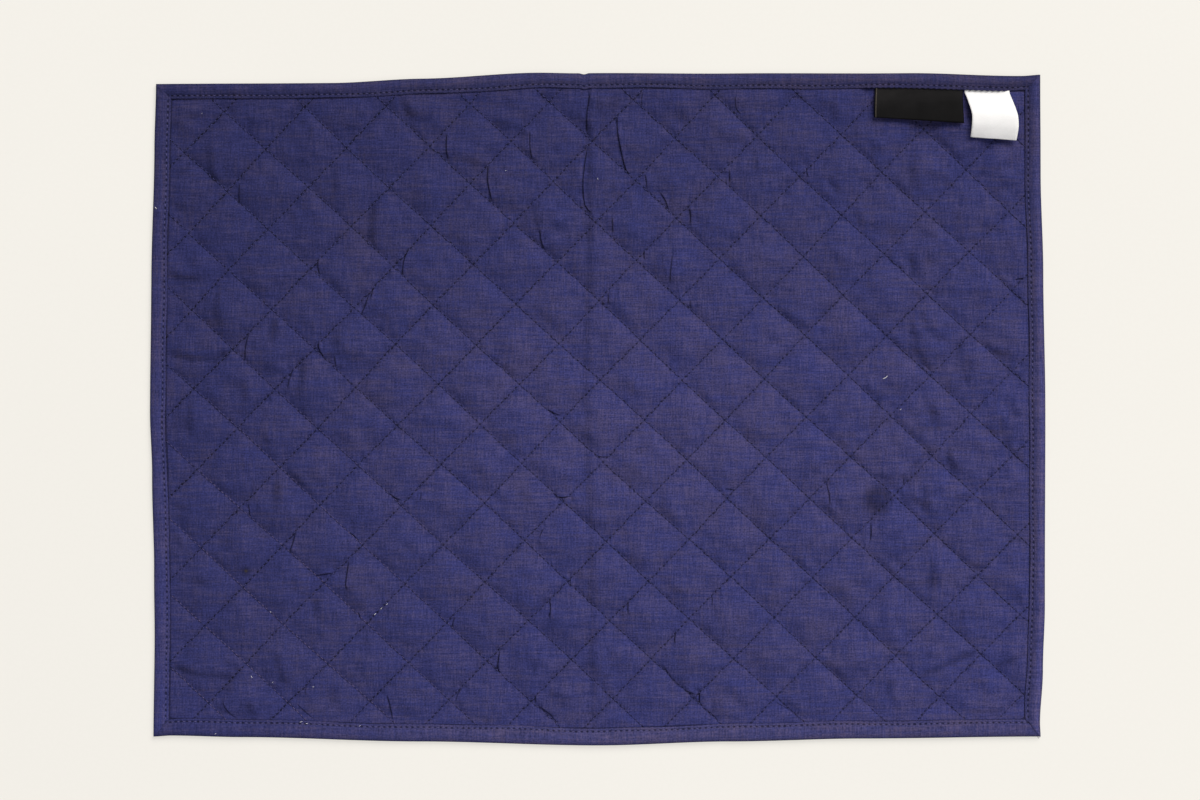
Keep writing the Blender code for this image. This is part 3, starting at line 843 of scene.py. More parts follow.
def quilted_cotton():
    """Face cloth: shot weave, needle holes and lines along the seams, painted shade in holes, seam lines,
    tucks, creases and beside the binding's fold, three marks.
    """
    wires = Wires("navy_quilted_cotton")
    cloth = wires.uv("cloth")
    height, warm, grain, mottle, slubs = weave_and_slubs(wires, cloth)
    hole, line = seam_marks(wires, cloth)
    # Painted shade: darker in the needle holes, along the seam lines, in the tucks and creases, and beside
    # the binding's fold; blotch, ring and halo are real marks.
    rim = wires.ramp(wires.value("rim"), 0.42, 0.05)
    shade = (1.0 - 0.6 * hole) * (1.0 - line) * (1.0 - 0.78 * wires.value("tuck")) * (1.0 - 0.55 * rim)
    blotch = wires.spot(cloth, BLOTCH_PLACE, 6.9, 3.6) * wires.ramp(mottle, 0.3, 0.6, 0.55, 1.0)
    ring = wires.spot(cloth, RING_PLACE, 1.9, 0.5) - wires.spot(cloth, RING_PLACE, 1.0, 0.5)
    halo = wires.spot(cloth, SPECK_PLACE, 2.2, 1.9)
    shade = shade * (1.0 - (0.55 * blotch + 0.30 * ring + 0.45 * halo))
    colour = wires.dim(cotton_colour(wires, cloth, warm, grain, slubs), shade)
    colour = wires.mix(wires.spot(cloth, SPECK_PLACE, 0.7, 0.6), colour, SPECK_BROWN)
    return finish_cotton(wires, colour, height - HOLE_DEPTH * hole - 0.06 * line)


def binding_cotton():
    """Binding cloth: the same weave, with needle holes along its stitch row; painted light per side,
    painted shade in the holes and at its folds.
    """
    wires = Wires("navy_binding_cotton")
    cloth = wires.uv("cloth")
    height, warm, grain, mottle, slubs = weave_and_slubs(wires, cloth)
    colour = cotton_colour(wires, wires.uv("place"), warm, grain, slubs)
    # Painted light: each side is painted lighter or darker and warmer for the light it catches, with a
    # painted highlight on its rounded outer edge.
    colour = wires.mix(wires.value("painted_warmth"), colour, wires.scaled(colour, PAINTED_WARMTH_TINT))
    colour = wires.dim(colour, wires.value("painted_light") * (0.9 + 0.2 * mottle))
    from_row, stitches = wires.split(wires.uv("strip"))
    size = 0.12 + 0.78 * wires.noise(cloth, HOLE_JITTER, 1.0)
    hole = wires.ramp(hole_distance(wires, from_row, stitches, EDGE_STITCH) / size, 1.2, 0.4)
    groove = wires.ramp(abs(from_row), 0.8, 0.0)
    shade = (1.0 - 0.55 * hole) * (1.0 - 0.08 * groove) * (1.0 - 0.6 * wires.value("fold"))
    return finish_cotton(wires, wires.dim(colour, shade), height - EDGE_HOLE_DEPTH * hole - 0.05 * groove)


def thread_material(name, navy, far_dim=0.0):
    """Twisted thread, dimmer by the given share along the far side, and paler where it is marked so."""
    wires = Wires(name)
    place = wires.place()
    across, along = wires.split(place)
    grain = wires.noise(place, 900.0, 2.0, 0.6)
    patch = wires.noise(place, 60.0)
    light = 0.55 + 0.75 * grain + 0.3 * patch + wires.ramp(along, 0.150, 0.158, 0.0, -far_dim)
    pale = wires.value("paler") * near_left(wires, across, along) * patch
    colour = wires.mix(pale, wires.dim(navy, light), wires.dim(PALE_THREAD, light))
    return wires.finish({"Base Color": colour, "Roughness": 0.7, "Specular IOR Level": 0.12}, 0.06 * grain)


def tape_material(name, colour, rib, shine, translucent=0.0):
    """Narrow woven tape with fine ribs; if it isn't translucent, painted lighter at its root and left side,
    with a painted highlight along its left fold.
    """
    wires = Wires(name)
    cloth = wires.uv("cloth")
    across, along = wires.split(cloth)
    ribs = wires.math("SINE", along * (2.0 * math.pi / (rib * MM)))
    cords = wires.math("SINE", across * (2.0 * math.pi / (rib * 0.7 * MM)))
    grain = wires.noise(cloth, (700.0, 2200.0), 2.0, 0.6)
    mottle = wires.noise(cloth, 120.0)
    tone = wires.dim(colour, 0.86 + 0.14 * grain + 0.14 * mottle)
    inputs = {"Roughness": 0.6, "Specular IOR Level": shine}
    if translucent:
        inputs["Subsurface Weight"] = translucent
        inputs["Subsurface Radius"] = (0.001, 0.001, 0.001)
    else:
        # Painted light: lighter near the root and on the left, and a painted highlight along the left fold.
        painted_root_light = wires.ramp(along, 0.002, 0.018, 1.75, 0.75)
        side = wires.ramp(across, 0.0, 0.030, 1.15, 0.85)
        tone = wires.dim(tone, painted_root_light * side * (0.55 + 0.9 * mottle))
        painted_light = wires.ramp(abs(across - 0.0008), 0.00032, 0.00005)
        tone = wires.mix(painted_light * (0.55 * grain), tone, FOLD_HIGHLIGHT_BEIGE)
    inputs["Base Color"] = tone
    return wires.finish(inputs, 0.02 * ribs + 0.01 * cords + 0.03 * grain)


def lint_material():
    wires = Wires("pale_lint")
    grain = wires.noise(wires.place(), 1500.0, 1.0)
    return wires.finish({"Base Color": wires.dim(LINT_WHITE, 0.7 + 0.4 * grain), "Roughness": 0.8})


FACE = quilted_cotton()
EDGE = binding_cotton()
THREAD = thread_material("navy_thread", THREAD_NAVY)
EDGE_THREAD = thread_material("edge_navy_thread", EDGE_THREAD_NAVY, 0.25)
BLACK_TAPE = tape_material("black_tape", LABEL_BLACK, 0.32, 0.05)
WHITE_TAPE = tape_material("white_tape", LABEL_WHITE, 0.28, 0.25, 0.15)
LINT = lint_material()


# ---------------------------------------------------------------- quilted cloths
CLOTH_INSET = CLOTH + GAP + 0.3
BACKING_STEPS = 12
DIMPLE_HEIGHT = 0.75
DIMPLE_WIDTH = 2.0


def lattice_lines(steps):
    """Quilting coordinates of the grid lines, closer together beside each seam."""
    even = np.linspace(0.0, 1.0, steps + 1)[:-1]
    crowded = 0.5 - 0.5 * np.cos(math.pi * even)
    shares = 0.45 * even + 0.55 * crowded
    return np.concatenate([cell + shares for cell in range(-CELLS_REACH, CELLS_REACH)])


def near_tucks(x, y):
    near = np.zeros(x.shape, bool)
    for row in TUCKS:
        away, _, _, _, _ = line_distances(x, y, tuck_line(row))
        near |= np.abs(away) < TUCK_PULL + 0.1
    return near


def divide_faces(p, q, faces, chosen):
    """Split the chosen faces finely, keeping the mesh whole round them."""
    work = bmesh.new()
    corners = [work.verts.new((a, b, 0.0)) for a, b in zip(p.tolist(), q.tolist())]
    quads = [work.faces.new([corners[k] for k in face]) for face in faces.tolist()]
    edges = {edge for quad, wanted in zip(quads, chosen) if wanted for edge in quad.edges}
    bmesh.ops.subdivide_edges(work, edges=list(edges), cuts=TUCK_CUTS, use_grid_fill=True)
    work.verts.index_update()
    places = np.array([vertex.co[:2] for vertex in work.verts])
    split = [[vertex.index for vertex in face.verts] for face in work.faces]
    work.free()
    return places[:, 0], places[:, 1], split


def quilted_grid(steps, refined=False):
    """Lattice-aligned grid of the panel, its rim drawn in to one clean line under the binding."""
    lines = lattice_lines(steps)
    p, q = np.meshgrid(lines, lines, indexing="ij")
    x, y = lattice_point(p, q)
    inside = side_depths(x.ravel(), y.ravel()).min(axis=0).reshape(x.shape) > CLOTH_INSET
    keep = inside[:-1, :-1] | inside[1:, :-1] | inside[:-1, 1:] | inside[1:, 1:]
    index = np.arange(x.size).reshape(x.shape)
    quads = np.stack(
        [index[:-1, :-1][keep], index[:-1, 1:][keep], index[1:, 1:][keep], index[1:, :-1][keep]], axis=1
    )
    used, faces = np.unique(quads, return_inverse=True)
    faces = faces.reshape(-1, 4)
    p, q, x, y = (values.ravel()[used] for values in (p, q, x, y))
    if refined:
        chosen = near_tucks(x[faces].mean(axis=1), y[faces].mean(axis=1))
        p, q, faces = divide_faces(p, q, faces, chosen)
        x, y = lattice_point(p, q)
    for _ in range(2):
        depths = side_depths(x, y)
        for side, (_, _, outward, _) in enumerate(SIDES):
            short = np.maximum(0.0, CLOTH_INSET - depths[side])
            x = x - outward[0] * short
            y = y - outward[1] * short
    return x, y, p, q, faces


def make_cloth(name, x, y, z, p, q, faces, flat_places):
    """One quilted cloth, with its places before the tucks and its quilting coordinates as UVs."""
    piece = make_object(name, np.stack([x, y, z], axis=1), faces, FACE)
    add_uv(piece, "cloth", flat_places * MM)
    add_uv(piece, "lattice", np.stack([p, q], axis=1))
    return piece


def make_face_cloth():
    x, y, p, q, faces = quilted_grid(CELL_STEPS, refined=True)
    flat_places = np.stack([x, y], axis=1)
    z = panel_top(x, y, p, q) + seam_puckers(x, y, p, q) * free_share(x, y)
    painted_shade = apply_tucks(x, y, z)
    under_flap = panel_depths(x, y)
    hidden = smooth((0.1 - under_flap.min(axis=0)) / 0.8)
    z = z * (1.0 - hidden) + np.minimum(z, RIM_TOP + 0.2) * hidden
    piece = make_cloth("face_cloth", x, y, z, p, q, faces, flat_places)
    # Painted shade: along the tucks and creases, and in the crevice beside the binding's fold.
    add_value(piece, "tuck", painted_shade * np.maximum(free_share(x, y), 0.3))
    add_value(piece, "rim", (under_flap / np.array(RIM_SHADE_SPREAD)[:, None]).min(axis=0))
    return piece


def backing_height(x, y, p, q):
    """Underside of the panel: level with the table, dimpled up along the seams."""
    dimple = DIMPLE_HEIGHT * (bell(seam_gap(p), DIMPLE_WIDTH) + bell(seam_gap(q), DIMPLE_WIDTH))
    inner = smooth((panel_depths(x, y).min(axis=0) - 0.3) / 1.2)
    return RIM_UNDER + (np.minimum(dimple, 0.85) + 0.02 - RIM_UNDER) * inner


def make_backing_cloth():
    x, y, p, q, faces = quilted_grid(BACKING_STEPS)
    z = backing_height(x, y, p, q)
    piece = make_cloth("backing_cloth", x, y, z, p, q, faces[:, ::-1], np.stack([x, y], axis=1))
    add_value(piece, "tuck", np.zeros(len(x)))
    add_value(piece, "rim", np.full(len(x), 9.0))
    return piece


# ---------------------------------------------------------------- thread
STITCH_TRIM = 0.22
STITCH_WOBBLE = 0.05
QUILTING_RADIUS = 0.19
BOBBIN_RADIUS = 0.18
EDGE_THREAD_RADIUS = 0.2
EDGE_THREAD_SUNK = 0.42

# Rings of one stitch. Columns: share of its length, of its radius, and of its sag.
STITCH_RINGS = (
    (0.0, 0.25, -1.0),
    (0.16, 0.85, 0.1),
    (0.5, 1.0, 0.35),
    (0.84, 0.85, 0.1),
    (1.0, 0.25, -1.0),
)


def square_to(along):
    """Unit vectors square to each direction: one level, and one upwards."""
    unit = along / np.linalg.norm(along, axis=1, keepdims=True)
    across = np.stack([-unit[:, 1], unit[:, 0], np.zeros(len(unit))], axis=1)
    across /= np.maximum(np.linalg.norm(across, axis=1, keepdims=True), 1e-9)
    return across, np.cross(unit, across)


def ring_round(centres, across, up, radii, sides):
    """A ring of points round each centre."""
    turns = (np.arange(sides) * 2.0 * math.pi / sides)[None, :, None]
    spokes = across[:, None, :] * np.cos(turns) + up[:, None, :] * np.sin(turns)
    return centres[:, None, :] + radii * spokes


def tube_faces(levels, sides):
    """Faces of one closed tube of rings."""
    faces = []
    for low in range(0, (levels - 1) * sides, sides):
        for side in range(sides):
            after = (side + 1) % sides
            faces.append((low + side, low + after, low + sides + after, low + sides + side))
    faces.append(tuple(range(sides - 1, -1, -1)))
    faces.append(tuple(range((levels - 1) * sides, levels * sides)))
    return faces


def stitch_bodies(starts, ends, radius, sides=5, sag=0.25):
    """Joined small rounded thread bodies from each start to its end, both (n, 3) in millimetres."""
    along = ends - starts
    across, up = square_to(along)
    rings = [
        ring_round(starts + along * share + up * (lift * sag), across, up, radius * size, sides)
        for share, size, lift in STITCH_RINGS
    ]
    points = np.stack(rings, axis=1).reshape(-1, 3)
    body = tube_faces(len(STITCH_RINGS), sides)
    lows = range(0, len(points), len(STITCH_RINGS) * sides)
    return points, [[low + k for k in face] for low in lows for face in body]


def trimmed(starts, ends):
    """The stitches shortened at both holes: joined starts, joined ends."""
    starts = np.concatenate(starts)
    ends = np.concatenate(ends)
    trim = STITCH_TRIM * (ends - starts)
    return starts + trim, ends - trim


def seam_stitches(height_at, inset):
    """Start, end and seam family of every quilting stitch, by walking each seam from hole to hole."""
    starts = []
    ends = []
    families = []
    reach = CELLS_REACH * STITCHES_PER_CELL
    run = np.arange(-reach, reach + 1) / STITCHES_PER_CELL
    for family in range(2):
        for seam in range(-CELLS_REACH, CELLS_REACH + 1):
            line = np.full(run.shape, float(seam))
            p, q = (line, run) if family == 0 else (run, line)
            x, y = lattice_point(p, q)
            inside = panel_depths(x, y).min(axis=0) > inset
            good = inside[:-1] & inside[1:]
            points = np.stack([x, y, height_at(x, y, p, q)], axis=1)
            starts.append(points[:-1][good])
            ends.append(points[1:][good])
            families.append(np.full(good.sum(), family))
    return *trimmed(starts, ends), np.concatenate(families)


def make_quilting_thread():
    starts, ends, families = seam_stitches(lambda x, y, p, q: panel_top(x, y, p, q) + 0.10, -1.0)
    starts[:, :2] += rng.normal(0.0, STITCH_WOBBLE, (len(starts), 2))
    ends[:, :2] += rng.normal(0.0, STITCH_WOBBLE, (len(starts), 2))
    points, faces = stitch_bodies(starts, ends, QUILTING_RADIUS)
    piece = make_object("quilting_thread", points, faces, THREAD)
    add_value(piece, "paler", np.repeat(families, len(points) // len(families)))
    return piece


def make_under_thread():
    """The lower thread's stitches, on the backing cloth."""
    starts, ends, _ = seam_stitches(lambda x, y, p, q: backing_height(x, y, p, q) - 0.06, 1.5)
    points, faces = stitch_bodies(starts, ends, BOBBIN_RADIUS, sides=3, sag=-0.2)
    return make_object("bobbin_thread", points, faces, THREAD)


# ---------------------------------------------------------------- binding
BINDING_STEP = 0.73
LABEL_SIDE = 2
FLAP_LIFT = 1.55
LIFT_START_SHARE = 0.014
LIFT_FULL_SHARE = 0.031
LIFT_HOLD_SHARE = 0.183
LIFT_END_SHARE = 0.194
STITCH_INSET = 1.6
STITCH_PINCH = 0.12
SCALLOP = 0.09
LABEL_SCALLOP = 0.15
RIPPLE_HEIGHT = 0.15
SWELL_HEIGHT = 0.26
MITRE_DEPTHS = (0.45, 0.40, 0.25, 0.15)
MITRE_REACH = 3.2
NEAR_MITRE = (0.0, 0.25, 0.5, 0.8, 1.2, 1.7, 2.3, 3.0, 3.8)
NEAR_MITRE_END = 4.8

# The section is drawn for a strip this wide. Above these heights it is pinched by its stitches, has
# their needle holes, is stepped at its mitres, and has painted shade in the creases there.
SECTION_WIDTH = 8.0
PINCHED_ABOVE = 2.0
STITCHED_ABOVE = 2.7
STEPPED_ABOVE = 2.95
DARK_ABOVE = 3.0
OFF_THE_STITCHES = 50.0

# Painted light: how light and how warm the binding is painted at each side's start, middle and end.
BINDING_LIGHT = ((0.96, 1.35, 1.03), (0.90, 0.98, 0.78), (0.72, 1.08, 0.84), (1.16, 1.33, 1.26))
BINDING_PAINTED_WARMTH = ((0.1, 0.8, 0.5), (0.4, 0.5, 0.4), (0.4, 0.7, 0.1), (0.4, 0.4, 0.1))
# Painted shade of each side's inner fold, and painted highlight on each side's rounded outer edge.
FOLD_DARK = (1.0, 1.0, 0.55, 1.0)
EDGE_PAINTED_LIGHT = (0.12, 0.46, 0.12, 0.08)

# Columns: share of the binding's width, extra inset, height, share of the label lift, share of the
# puckers, painted shade of the fold there. The section runs from the table round the edge and back under.
SECTION = (
    (1.0, 0.20, 0.02, 0.0, 0.0, 0.0),
    (0.5, 0.00, 0.00, 0.0, 0.0, 0.0),
    (0.0, 0.90, 0.02, 0.0, 0.0, 0.0),
    (0.0, 0.36, 0.20, 0.0, 0.2, 0.7),
    (0.0, 0.08, 0.60, 0.0, 0.3, 0.8),
    (0.0, 0.00, 1.15, 0.0, 0.3, 0.8),
    (0.0, 0.08, 1.75, 0.0, 0.4, 0.7),
    (0.0, 0.30, 2.30, 0.0, 0.6, 0.55),
    (0.0, 0.70, 2.70, 0.0, 0.8, 0.2),
    (0.0, 1.30, 3.05, 0.1, 1.0, 0.0),
    (0.0, 2.10, 3.38, 0.4, 1.0, 0.0),
    (0.0, 3.00, 3.60, 0.8, 1.0, 0.0),
    (0.0, 3.80, 3.66, 1.0, 1.0, 0.0),
    (1.0, -3.20, 3.56, 1.0, 0.9, 0.0),
    (1.0, -2.50, 3.38, 1.0, 0.6, 0.0),
    (1.0, -2.00, 3.20, 1.0, 0.3, 0.0),
    (1.0, -1.60, 3.11, 1.0, 0.2, 0.0),
    (1.0, -1.20, 3.10, 1.0, 0.3, 0.0),
    (1.0, -0.70, 3.13, 1.0, 0.5, 0.0),
    (1.0, -0.40, 3.08, 1.0, 0.6, 0.0),
    (1.0, -0.18, 2.98, 1.0, 0.6, 0.2),
    (1.0, -0.02, 2.82, 1.0, 0.5, 0.75),
    (1.0, -0.06, 2.64, 1.0, 0.4, 1.0),
    (1.0, -0.35, 2.52, 1.0, 0.2, 1.0),
    (1.0, -3.00, 2.50, 1.0, 0.0, 0.5),
    (0.0, 3.70, 2.50, 1.0, 0.0, 0.0),
    (0.0, 1.20, 2.50, 0.0, 0.0, 0.0),
    (0.0, 1.00, 2.40, 0.0, 0.0, 0.0),
    (0.0, 1.00, 1.10, 0.0, 0.0, 0.0),
    (0.0, 1.20, 1.00, 0.0, 0.0, 0.0),
    (1.0, 0.10, 1.00, 0.0, 0.0, 0.0),
    (1.0, 0.22, 0.80, 0.0, 0.0, 0.0),
    (1.0, 0.24, 0.30, 0.0, 0.0, 0.0),
)


def flap_lift(side, shares):
    """How far the labels lift the binding, at shares of the way along a side."""
    if side != LABEL_SIDE:
        return np.zeros(shares.shape)
    rise = smooth((shares - LIFT_START_SHARE) / (LIFT_FULL_SHARE - LIFT_START_SHARE))
    fall = smooth((LIFT_END_SHARE - shares) / (LIFT_END_SHARE - LIFT_HOLD_SHARE))
    return FLAP_LIFT * np.minimum(rise, fall)


def side_shares(length):
    """Shares along a side, closest together beside its two mitres."""
    near = np.array(NEAR_MITRE) / length
    count = int((length - 2.0 * NEAR_MITRE_END) / BINDING_STEP)
    middle = np.linspace(NEAR_MITRE_END / length, 1.0 - NEAR_MITRE_END / length, count)
    return np.concatenate([near, middle, (1.0 - near[:0:-1])])


def make_binding():
    """Binding strip as one closed ring of sections, pinched at its stitches and stepped at its mitres."""
    rings = []
    travels = []
    creases = []
    painted_light = []
    painted_warmth = []
    painted_shade = []
    heights = np.array([row[2] for row in SECTION])
    insets = np.array([row[0] * SECTION_WIDTH + row[1] for row in SECTION])
    travelled = 0.0
    for side, (start, along, outward, length) in enumerate(SIDES):
        shares = side_shares(length)
        light, warming = (
            np.interp(shares, (0.0, 0.5, 1.0), table[side]) for table in (BINDING_LIGHT, BINDING_PAINTED_WARMTH)
        )
        painted_light.append(np.outer(light, 1.0 + EDGE_PAINTED_LIGHT[side] * bell(insets - 1.8, 1.8)))
        painted_warmth.append(np.outer(warming, np.ones(len(SECTION))))
        painted_shade.append(np.full(len(shares), FOLD_DARK[side]))
        from_corner = np.minimum(shares, 1.0 - shares) * length
        lift = flap_lift(side, shares)
        cross = travelled + shares * length
        ripple = np.sin(cross / 1.15 + 2.5 * np.sin(cross / 7.0)) * soft_noise(cross, cross * 0.0, 8.0, 11)
        swell = soft_noise(cross, cross * 0.0, 13.0, 12)
        depth = np.where(shares < 0.5, MITRE_DEPTHS[side], MITRE_DEPTHS[(side + 1) % 4])
        step_up = np.where(shares < 0.5, 0.45, -0.15) * smooth(1.0 - from_corner / MITRE_REACH) * depth
        crease = bell(from_corner, 0.4) * depth
        for share, extra, height, lifted, puckered, _ in SECTION:
            place = ring_points(side, shares, share, extra)
            travel = travelled + (place - start) @ along
            turns = np.cos(2.0 * math.pi * travel / EDGE_STITCH)
            z = height + lifted * lift + puckered * (RIPPLE_HEIGHT * ripple + SWELL_HEIGHT * swell)
            if share == 1.0 and height > PINCHED_ABOVE:
                pinch = (SCALLOP + LABEL_SCALLOP * lift / FLAP_LIFT) * math.exp(-abs(extra) / 0.8)
                place = place + np.outer(pinch * turns * smooth(from_corner / 8.0), outward)
            if height > STEPPED_ABOVE:
                z = z + step_up * (1.0 if share * SECTION_WIDTH + extra > 0.8 else 0.5) - 0.4 * crease
            if share == 1.0 and extra == -STITCH_INSET:
                z = z - STITCH_PINCH * (0.5 + 0.5 * turns)
            rings.append(np.column_stack([place, z]))
            travels.append(travel)
        creases.append(crease)
        travelled += length
    size = len(SECTION)
    points, travels = (
        np.concatenate([np.stack(rows[k * size:(k + 1) * size], axis=1) for k in range(4)])
        for rows in (rings, travels)
    )
    index = np.arange(len(points) * size).reshape(-1, size)
    after = np.roll(index, -1, axis=0)
    faces = np.stack([index, after, np.roll(after, -1, axis=1), np.roll(index, -1, axis=1)], axis=2)
    across = np.concatenate([[0.0], np.cumsum(np.hypot(np.diff(insets), np.diff(heights)))])
    from_row = np.where(heights > STITCHED_ABOVE, insets - (SECTION_WIDTH - STITCH_INSET), OFF_THE_STITCHES)
    strip = np.stack(np.broadcast_arrays(from_row[None, :], travels / EDGE_STITCH), axis=2)
    cloth = np.stack(np.broadcast_arrays(travels, across[None, :]), axis=2)
    # The fold value is painted shade: in the folds, at the outer edge and in the mitre creases.
    inner_dark = np.where(insets > 5.0, np.concatenate(painted_shade)[:, None], 1.0)
    folds = np.array([row[5] for row in SECTION])[None, :] * inner_dark
    folds = folds + np.concatenate(creases)[:, None] * (heights > DARK_ABOVE)[None, :]
    points = points.reshape(-1, 3)
    piece = make_object("edge_binding_cloth", points, faces.reshape(-1, 4), EDGE)
    add_uv(piece, "cloth", cloth.reshape(-1, 2) * MM)
    add_uv(piece, "strip", strip.reshape(-1, 2))
    add_uv(piece, "place", points[:, :2] * MM)
    add_value(piece, "fold", np.clip(folds, 0.0, 1.0).ravel())
    add_value(piece, "painted_light", np.concatenate(painted_light).ravel())
    add_value(piece, "painted_warmth", np.concatenate(painted_warmth).ravel())
    return piece


def make_edge_thread():
    """The binding's stitches, from needle hole to needle hole in step with the holes of its material."""
    starts = []
    ends = []
    travelled = 0.0
    for side, (start, along, _, length) in enumerate(SIDES):
        corners = ring_points(side, np.array((0.0, 1.0)), 1.0, -STITCH_INSET)
        low, high = travelled + (corners - start) @ along
        holes = np.arange(math.ceil(low / EDGE_STITCH), math.floor(high / EDGE_STITCH) + 1) * EDGE_STITCH
        shares = (holes - low) / (high - low)
        place = ring_points(side, shares, 1.0, -STITCH_INSET)
        z = FLAP_TOP - EDGE_THREAD_SUNK + flap_lift(side, shares)
        points = np.column_stack([place, z])
        starts.append(points[:-1])
        ends.append(points[1:])
        travelled += length
    points, faces = stitch_bodies(*trimmed(starts, ends), EDGE_THREAD_RADIUS)
    return make_object("edge_thread", points, faces, EDGE_THREAD)


# ---------------------------------------------------------------- labels
# Columns: x and y at the left edge, x and y at the right edge, height of the underside left and right.
WOVEN_LABEL_ROWS = (
    (140.3, 165.4, 184.9, 165.0, 2.5, 2.5),
    (140.3, 160.6, 184.9, 160.2, 2.65, 2.65),
    (140.2, 158.4, 184.8, 158.0, 3.1, 3.1),
    (140.1, 155.6, 184.9, 155.4, 4.0, 4.1),
    (140.0, 152.0, 185.1, 151.6, 4.4, 4.8),
    (140.0, 147.4, 185.5, 144.4, 4.5, 6.3),
)
CARE_LABEL_ROWS = (
    (185.6, 165.0, 208.3, 164.7, 2.5, 2.5),
    (185.7, 160.2, 208.5, 159.9, 2.65, 2.65),
    (186.5, 158.0, 209.3, 157.6, 3.4, 3.4),
    (187.4, 155.6, 210.4, 154.9, 5.0, 4.8),
    (188.6, 152.2, 211.7, 151.6, 6.9, 6.6),
    (189.5, 148.8, 212.8, 148.0, 7.9, 7.6),
    (189.5, 144.5, 213.1, 143.4, 7.6, 7.4),
    (189.1, 140.8, 212.6, 139.2, 6.2, 6.2),
    (188.8, 137.9, 212.0, 136.1, 4.6, 4.9),
)


# The label rows were measured in a picture taken from this height, so lifted points are drawn in.
CAMERA_HEIGHT_MM = 1686.0
PICTURE_MIDDLE = np.array((1.3, 4.4))

LABEL_SEAT = 0.5
LABEL_RIPPLE = 0.05
LABEL_FOLD_SWELL = 0.22
LABEL_FOLD_PLACE = 0.7
LABEL_FOLD_WIDTH = 0.45


def make_label(name, rows, thickness, material, columns, steps, fold_left=False):
    """Thin closed label cloth with rounded edges along the rows, its UVs true to size."""
    lines = spline(rows, steps)
    lines[:, (0, 2)] += DRAWN_SHIFT
    for low, high in ((0, 4), (2, 5)):
        toward = lines[:, high:high + 1] / CAMERA_HEIGHT_MM
        lines[:, low:low + 2] -= (lines[:, low:low + 2] - PICTURE_MIDDLE) * toward
    left = lines[:, (0, 1, 4)]
    right = lines[:, (2, 3, 5)]
    shares = np.linspace(0.0, 1.0, columns)
    middle = left[:, None, :] * (1 - shares)[None, :, None] + right[:, None, :] * shares[None, :, None]
    along = np.gradient(middle, axis=0)
    across = np.gradient(middle, axis=1)
    normal = np.cross(across, along)
    normal /= np.linalg.norm(normal, axis=2, keepdims=True)
    normal *= np.sign(normal[:, :, 2:3])
    ripple = LABEL_RIPPLE * np.sin(middle[:, :, 0] / 3.1 + middle[:, :, 1] / 5.0)
    middle = middle + normal * (LABEL_SEAT + 0.5 * thickness + ripple[:, :, None])
    half = np.full(shares.shape, thickness / 2.0)
    width = np.linalg.norm(right[0] - left[0])
    edge = np.minimum(shares, 1.0 - shares) * width
    half = half * np.sqrt(np.clip(edge / (thickness * 0.6), 0.02, 1.0))
    if fold_left:
        half = half + LABEL_FOLD_SWELL * bell(shares * width - LABEL_FOLD_PLACE, LABEL_FOLD_WIDTH)
    over = middle + normal * half[None, :, None]
    under = middle - normal * half[None, :, None]
    points = np.concatenate([over.reshape(-1, 3), under.reshape(-1, 3)])
    below = steps * columns
    index = np.arange(below).reshape(steps, columns)
    quads = np.stack([index[:-1, :-1], index[1:, :-1], index[1:, 1:], index[:-1, 1:]], axis=2)
    quads = quads.reshape(-1, 4)
    rim = [*index[0], *index[1:, -1], *index[-1, -2::-1], *index[-2:0:-1, 0]]
    after = rim[1:] + rim[:1]
    faces = [*quads, *(quads[:, (0, 3, 2, 1)] + below)]
    faces += [(one, other, other + below, one + below) for one, other in zip(rim, after)]
    piece = make_object(name, points, faces, material)
    run = np.concatenate([[0.0], np.cumsum(np.linalg.norm(np.diff(middle[:, 0], axis=0), axis=1))])
    uv = np.stack(np.broadcast_arrays(shares[None, :] * width, run[:, None]), axis=2).reshape(-1, 2)
    add_uv(piece, "cloth", np.concatenate([uv, uv]) * MM)
    return piece, run[-1]


# ---------------------------------------------------------------- lint, tail
# Columns: x, y, length, direction in degrees, curl in degrees, radius.
FIBRES = (
    (144.1, 15.2, 2.8, 5.0, 50.0, 0.20),
    (152.9, -0.6, 1.0, 20.0, 40.0, 0.11),
    (0.3, 115.7, 0.9, 100.0, 20.0, 0.10),
    (-46.8, 120.2, 0.8, 10.0, 30.0, 0.10),
    (-199.9, 149.0, 0.6, 60.0, 30.0, 0.07),
    (-222.9, 100.9, 1.3, 80.0, 80.0, 0.16),
    (-174.7, -136.1, 1.2, 80.0, 60.0, 0.12),
    (-164.5, -138.6, 0.9, 30.0, 50.0, 0.10),
    (-143.3, -140.7, 1.0, 140.0, 60.0, 0.10),
    (-165.3, -103.2, 0.9, 70.0, 30.0, 0.10),
    (-150.4, -158.3, 1.4, 5.0, 30.0, 0.12),
    (-146.4, -158.9, 1.0, 170.0, 50.0, 0.12),
    (-120.3, -160.4, 0.8, 40.0, 20.0, 0.10),
    (-193.4, -164.4, 1.0, 20.0, 40.0, 0.10),
    (-113.0, -104.3, 1.3, 38.0, 15.0, 0.12),
    (-109.8, -101.4, 1.2, 42.0, 10.0, 0.12),
    (-106.9, -99.2, 1.1, 36.0, 10.0, 0.11),
)


# Loose thread ends: rows of x, y and height along each.
TAILS = (
    ((221.6, -163.4, 2.6), (222.1, -165.0, 1.5), (222.4, -166.1, 0.7), (223.0, -166.9, 0.3)),
    ((222.3, -163.6, 2.4), (223.0, -164.8, 1.4), (223.4, -165.5, 0.8), (223.3, -166.5, 0.4)),
)
TAIL_RADIUS = 0.12
TAIL_POINTS = 14
FIBRE_STEPS = 9
TUBE_SIDES = 6


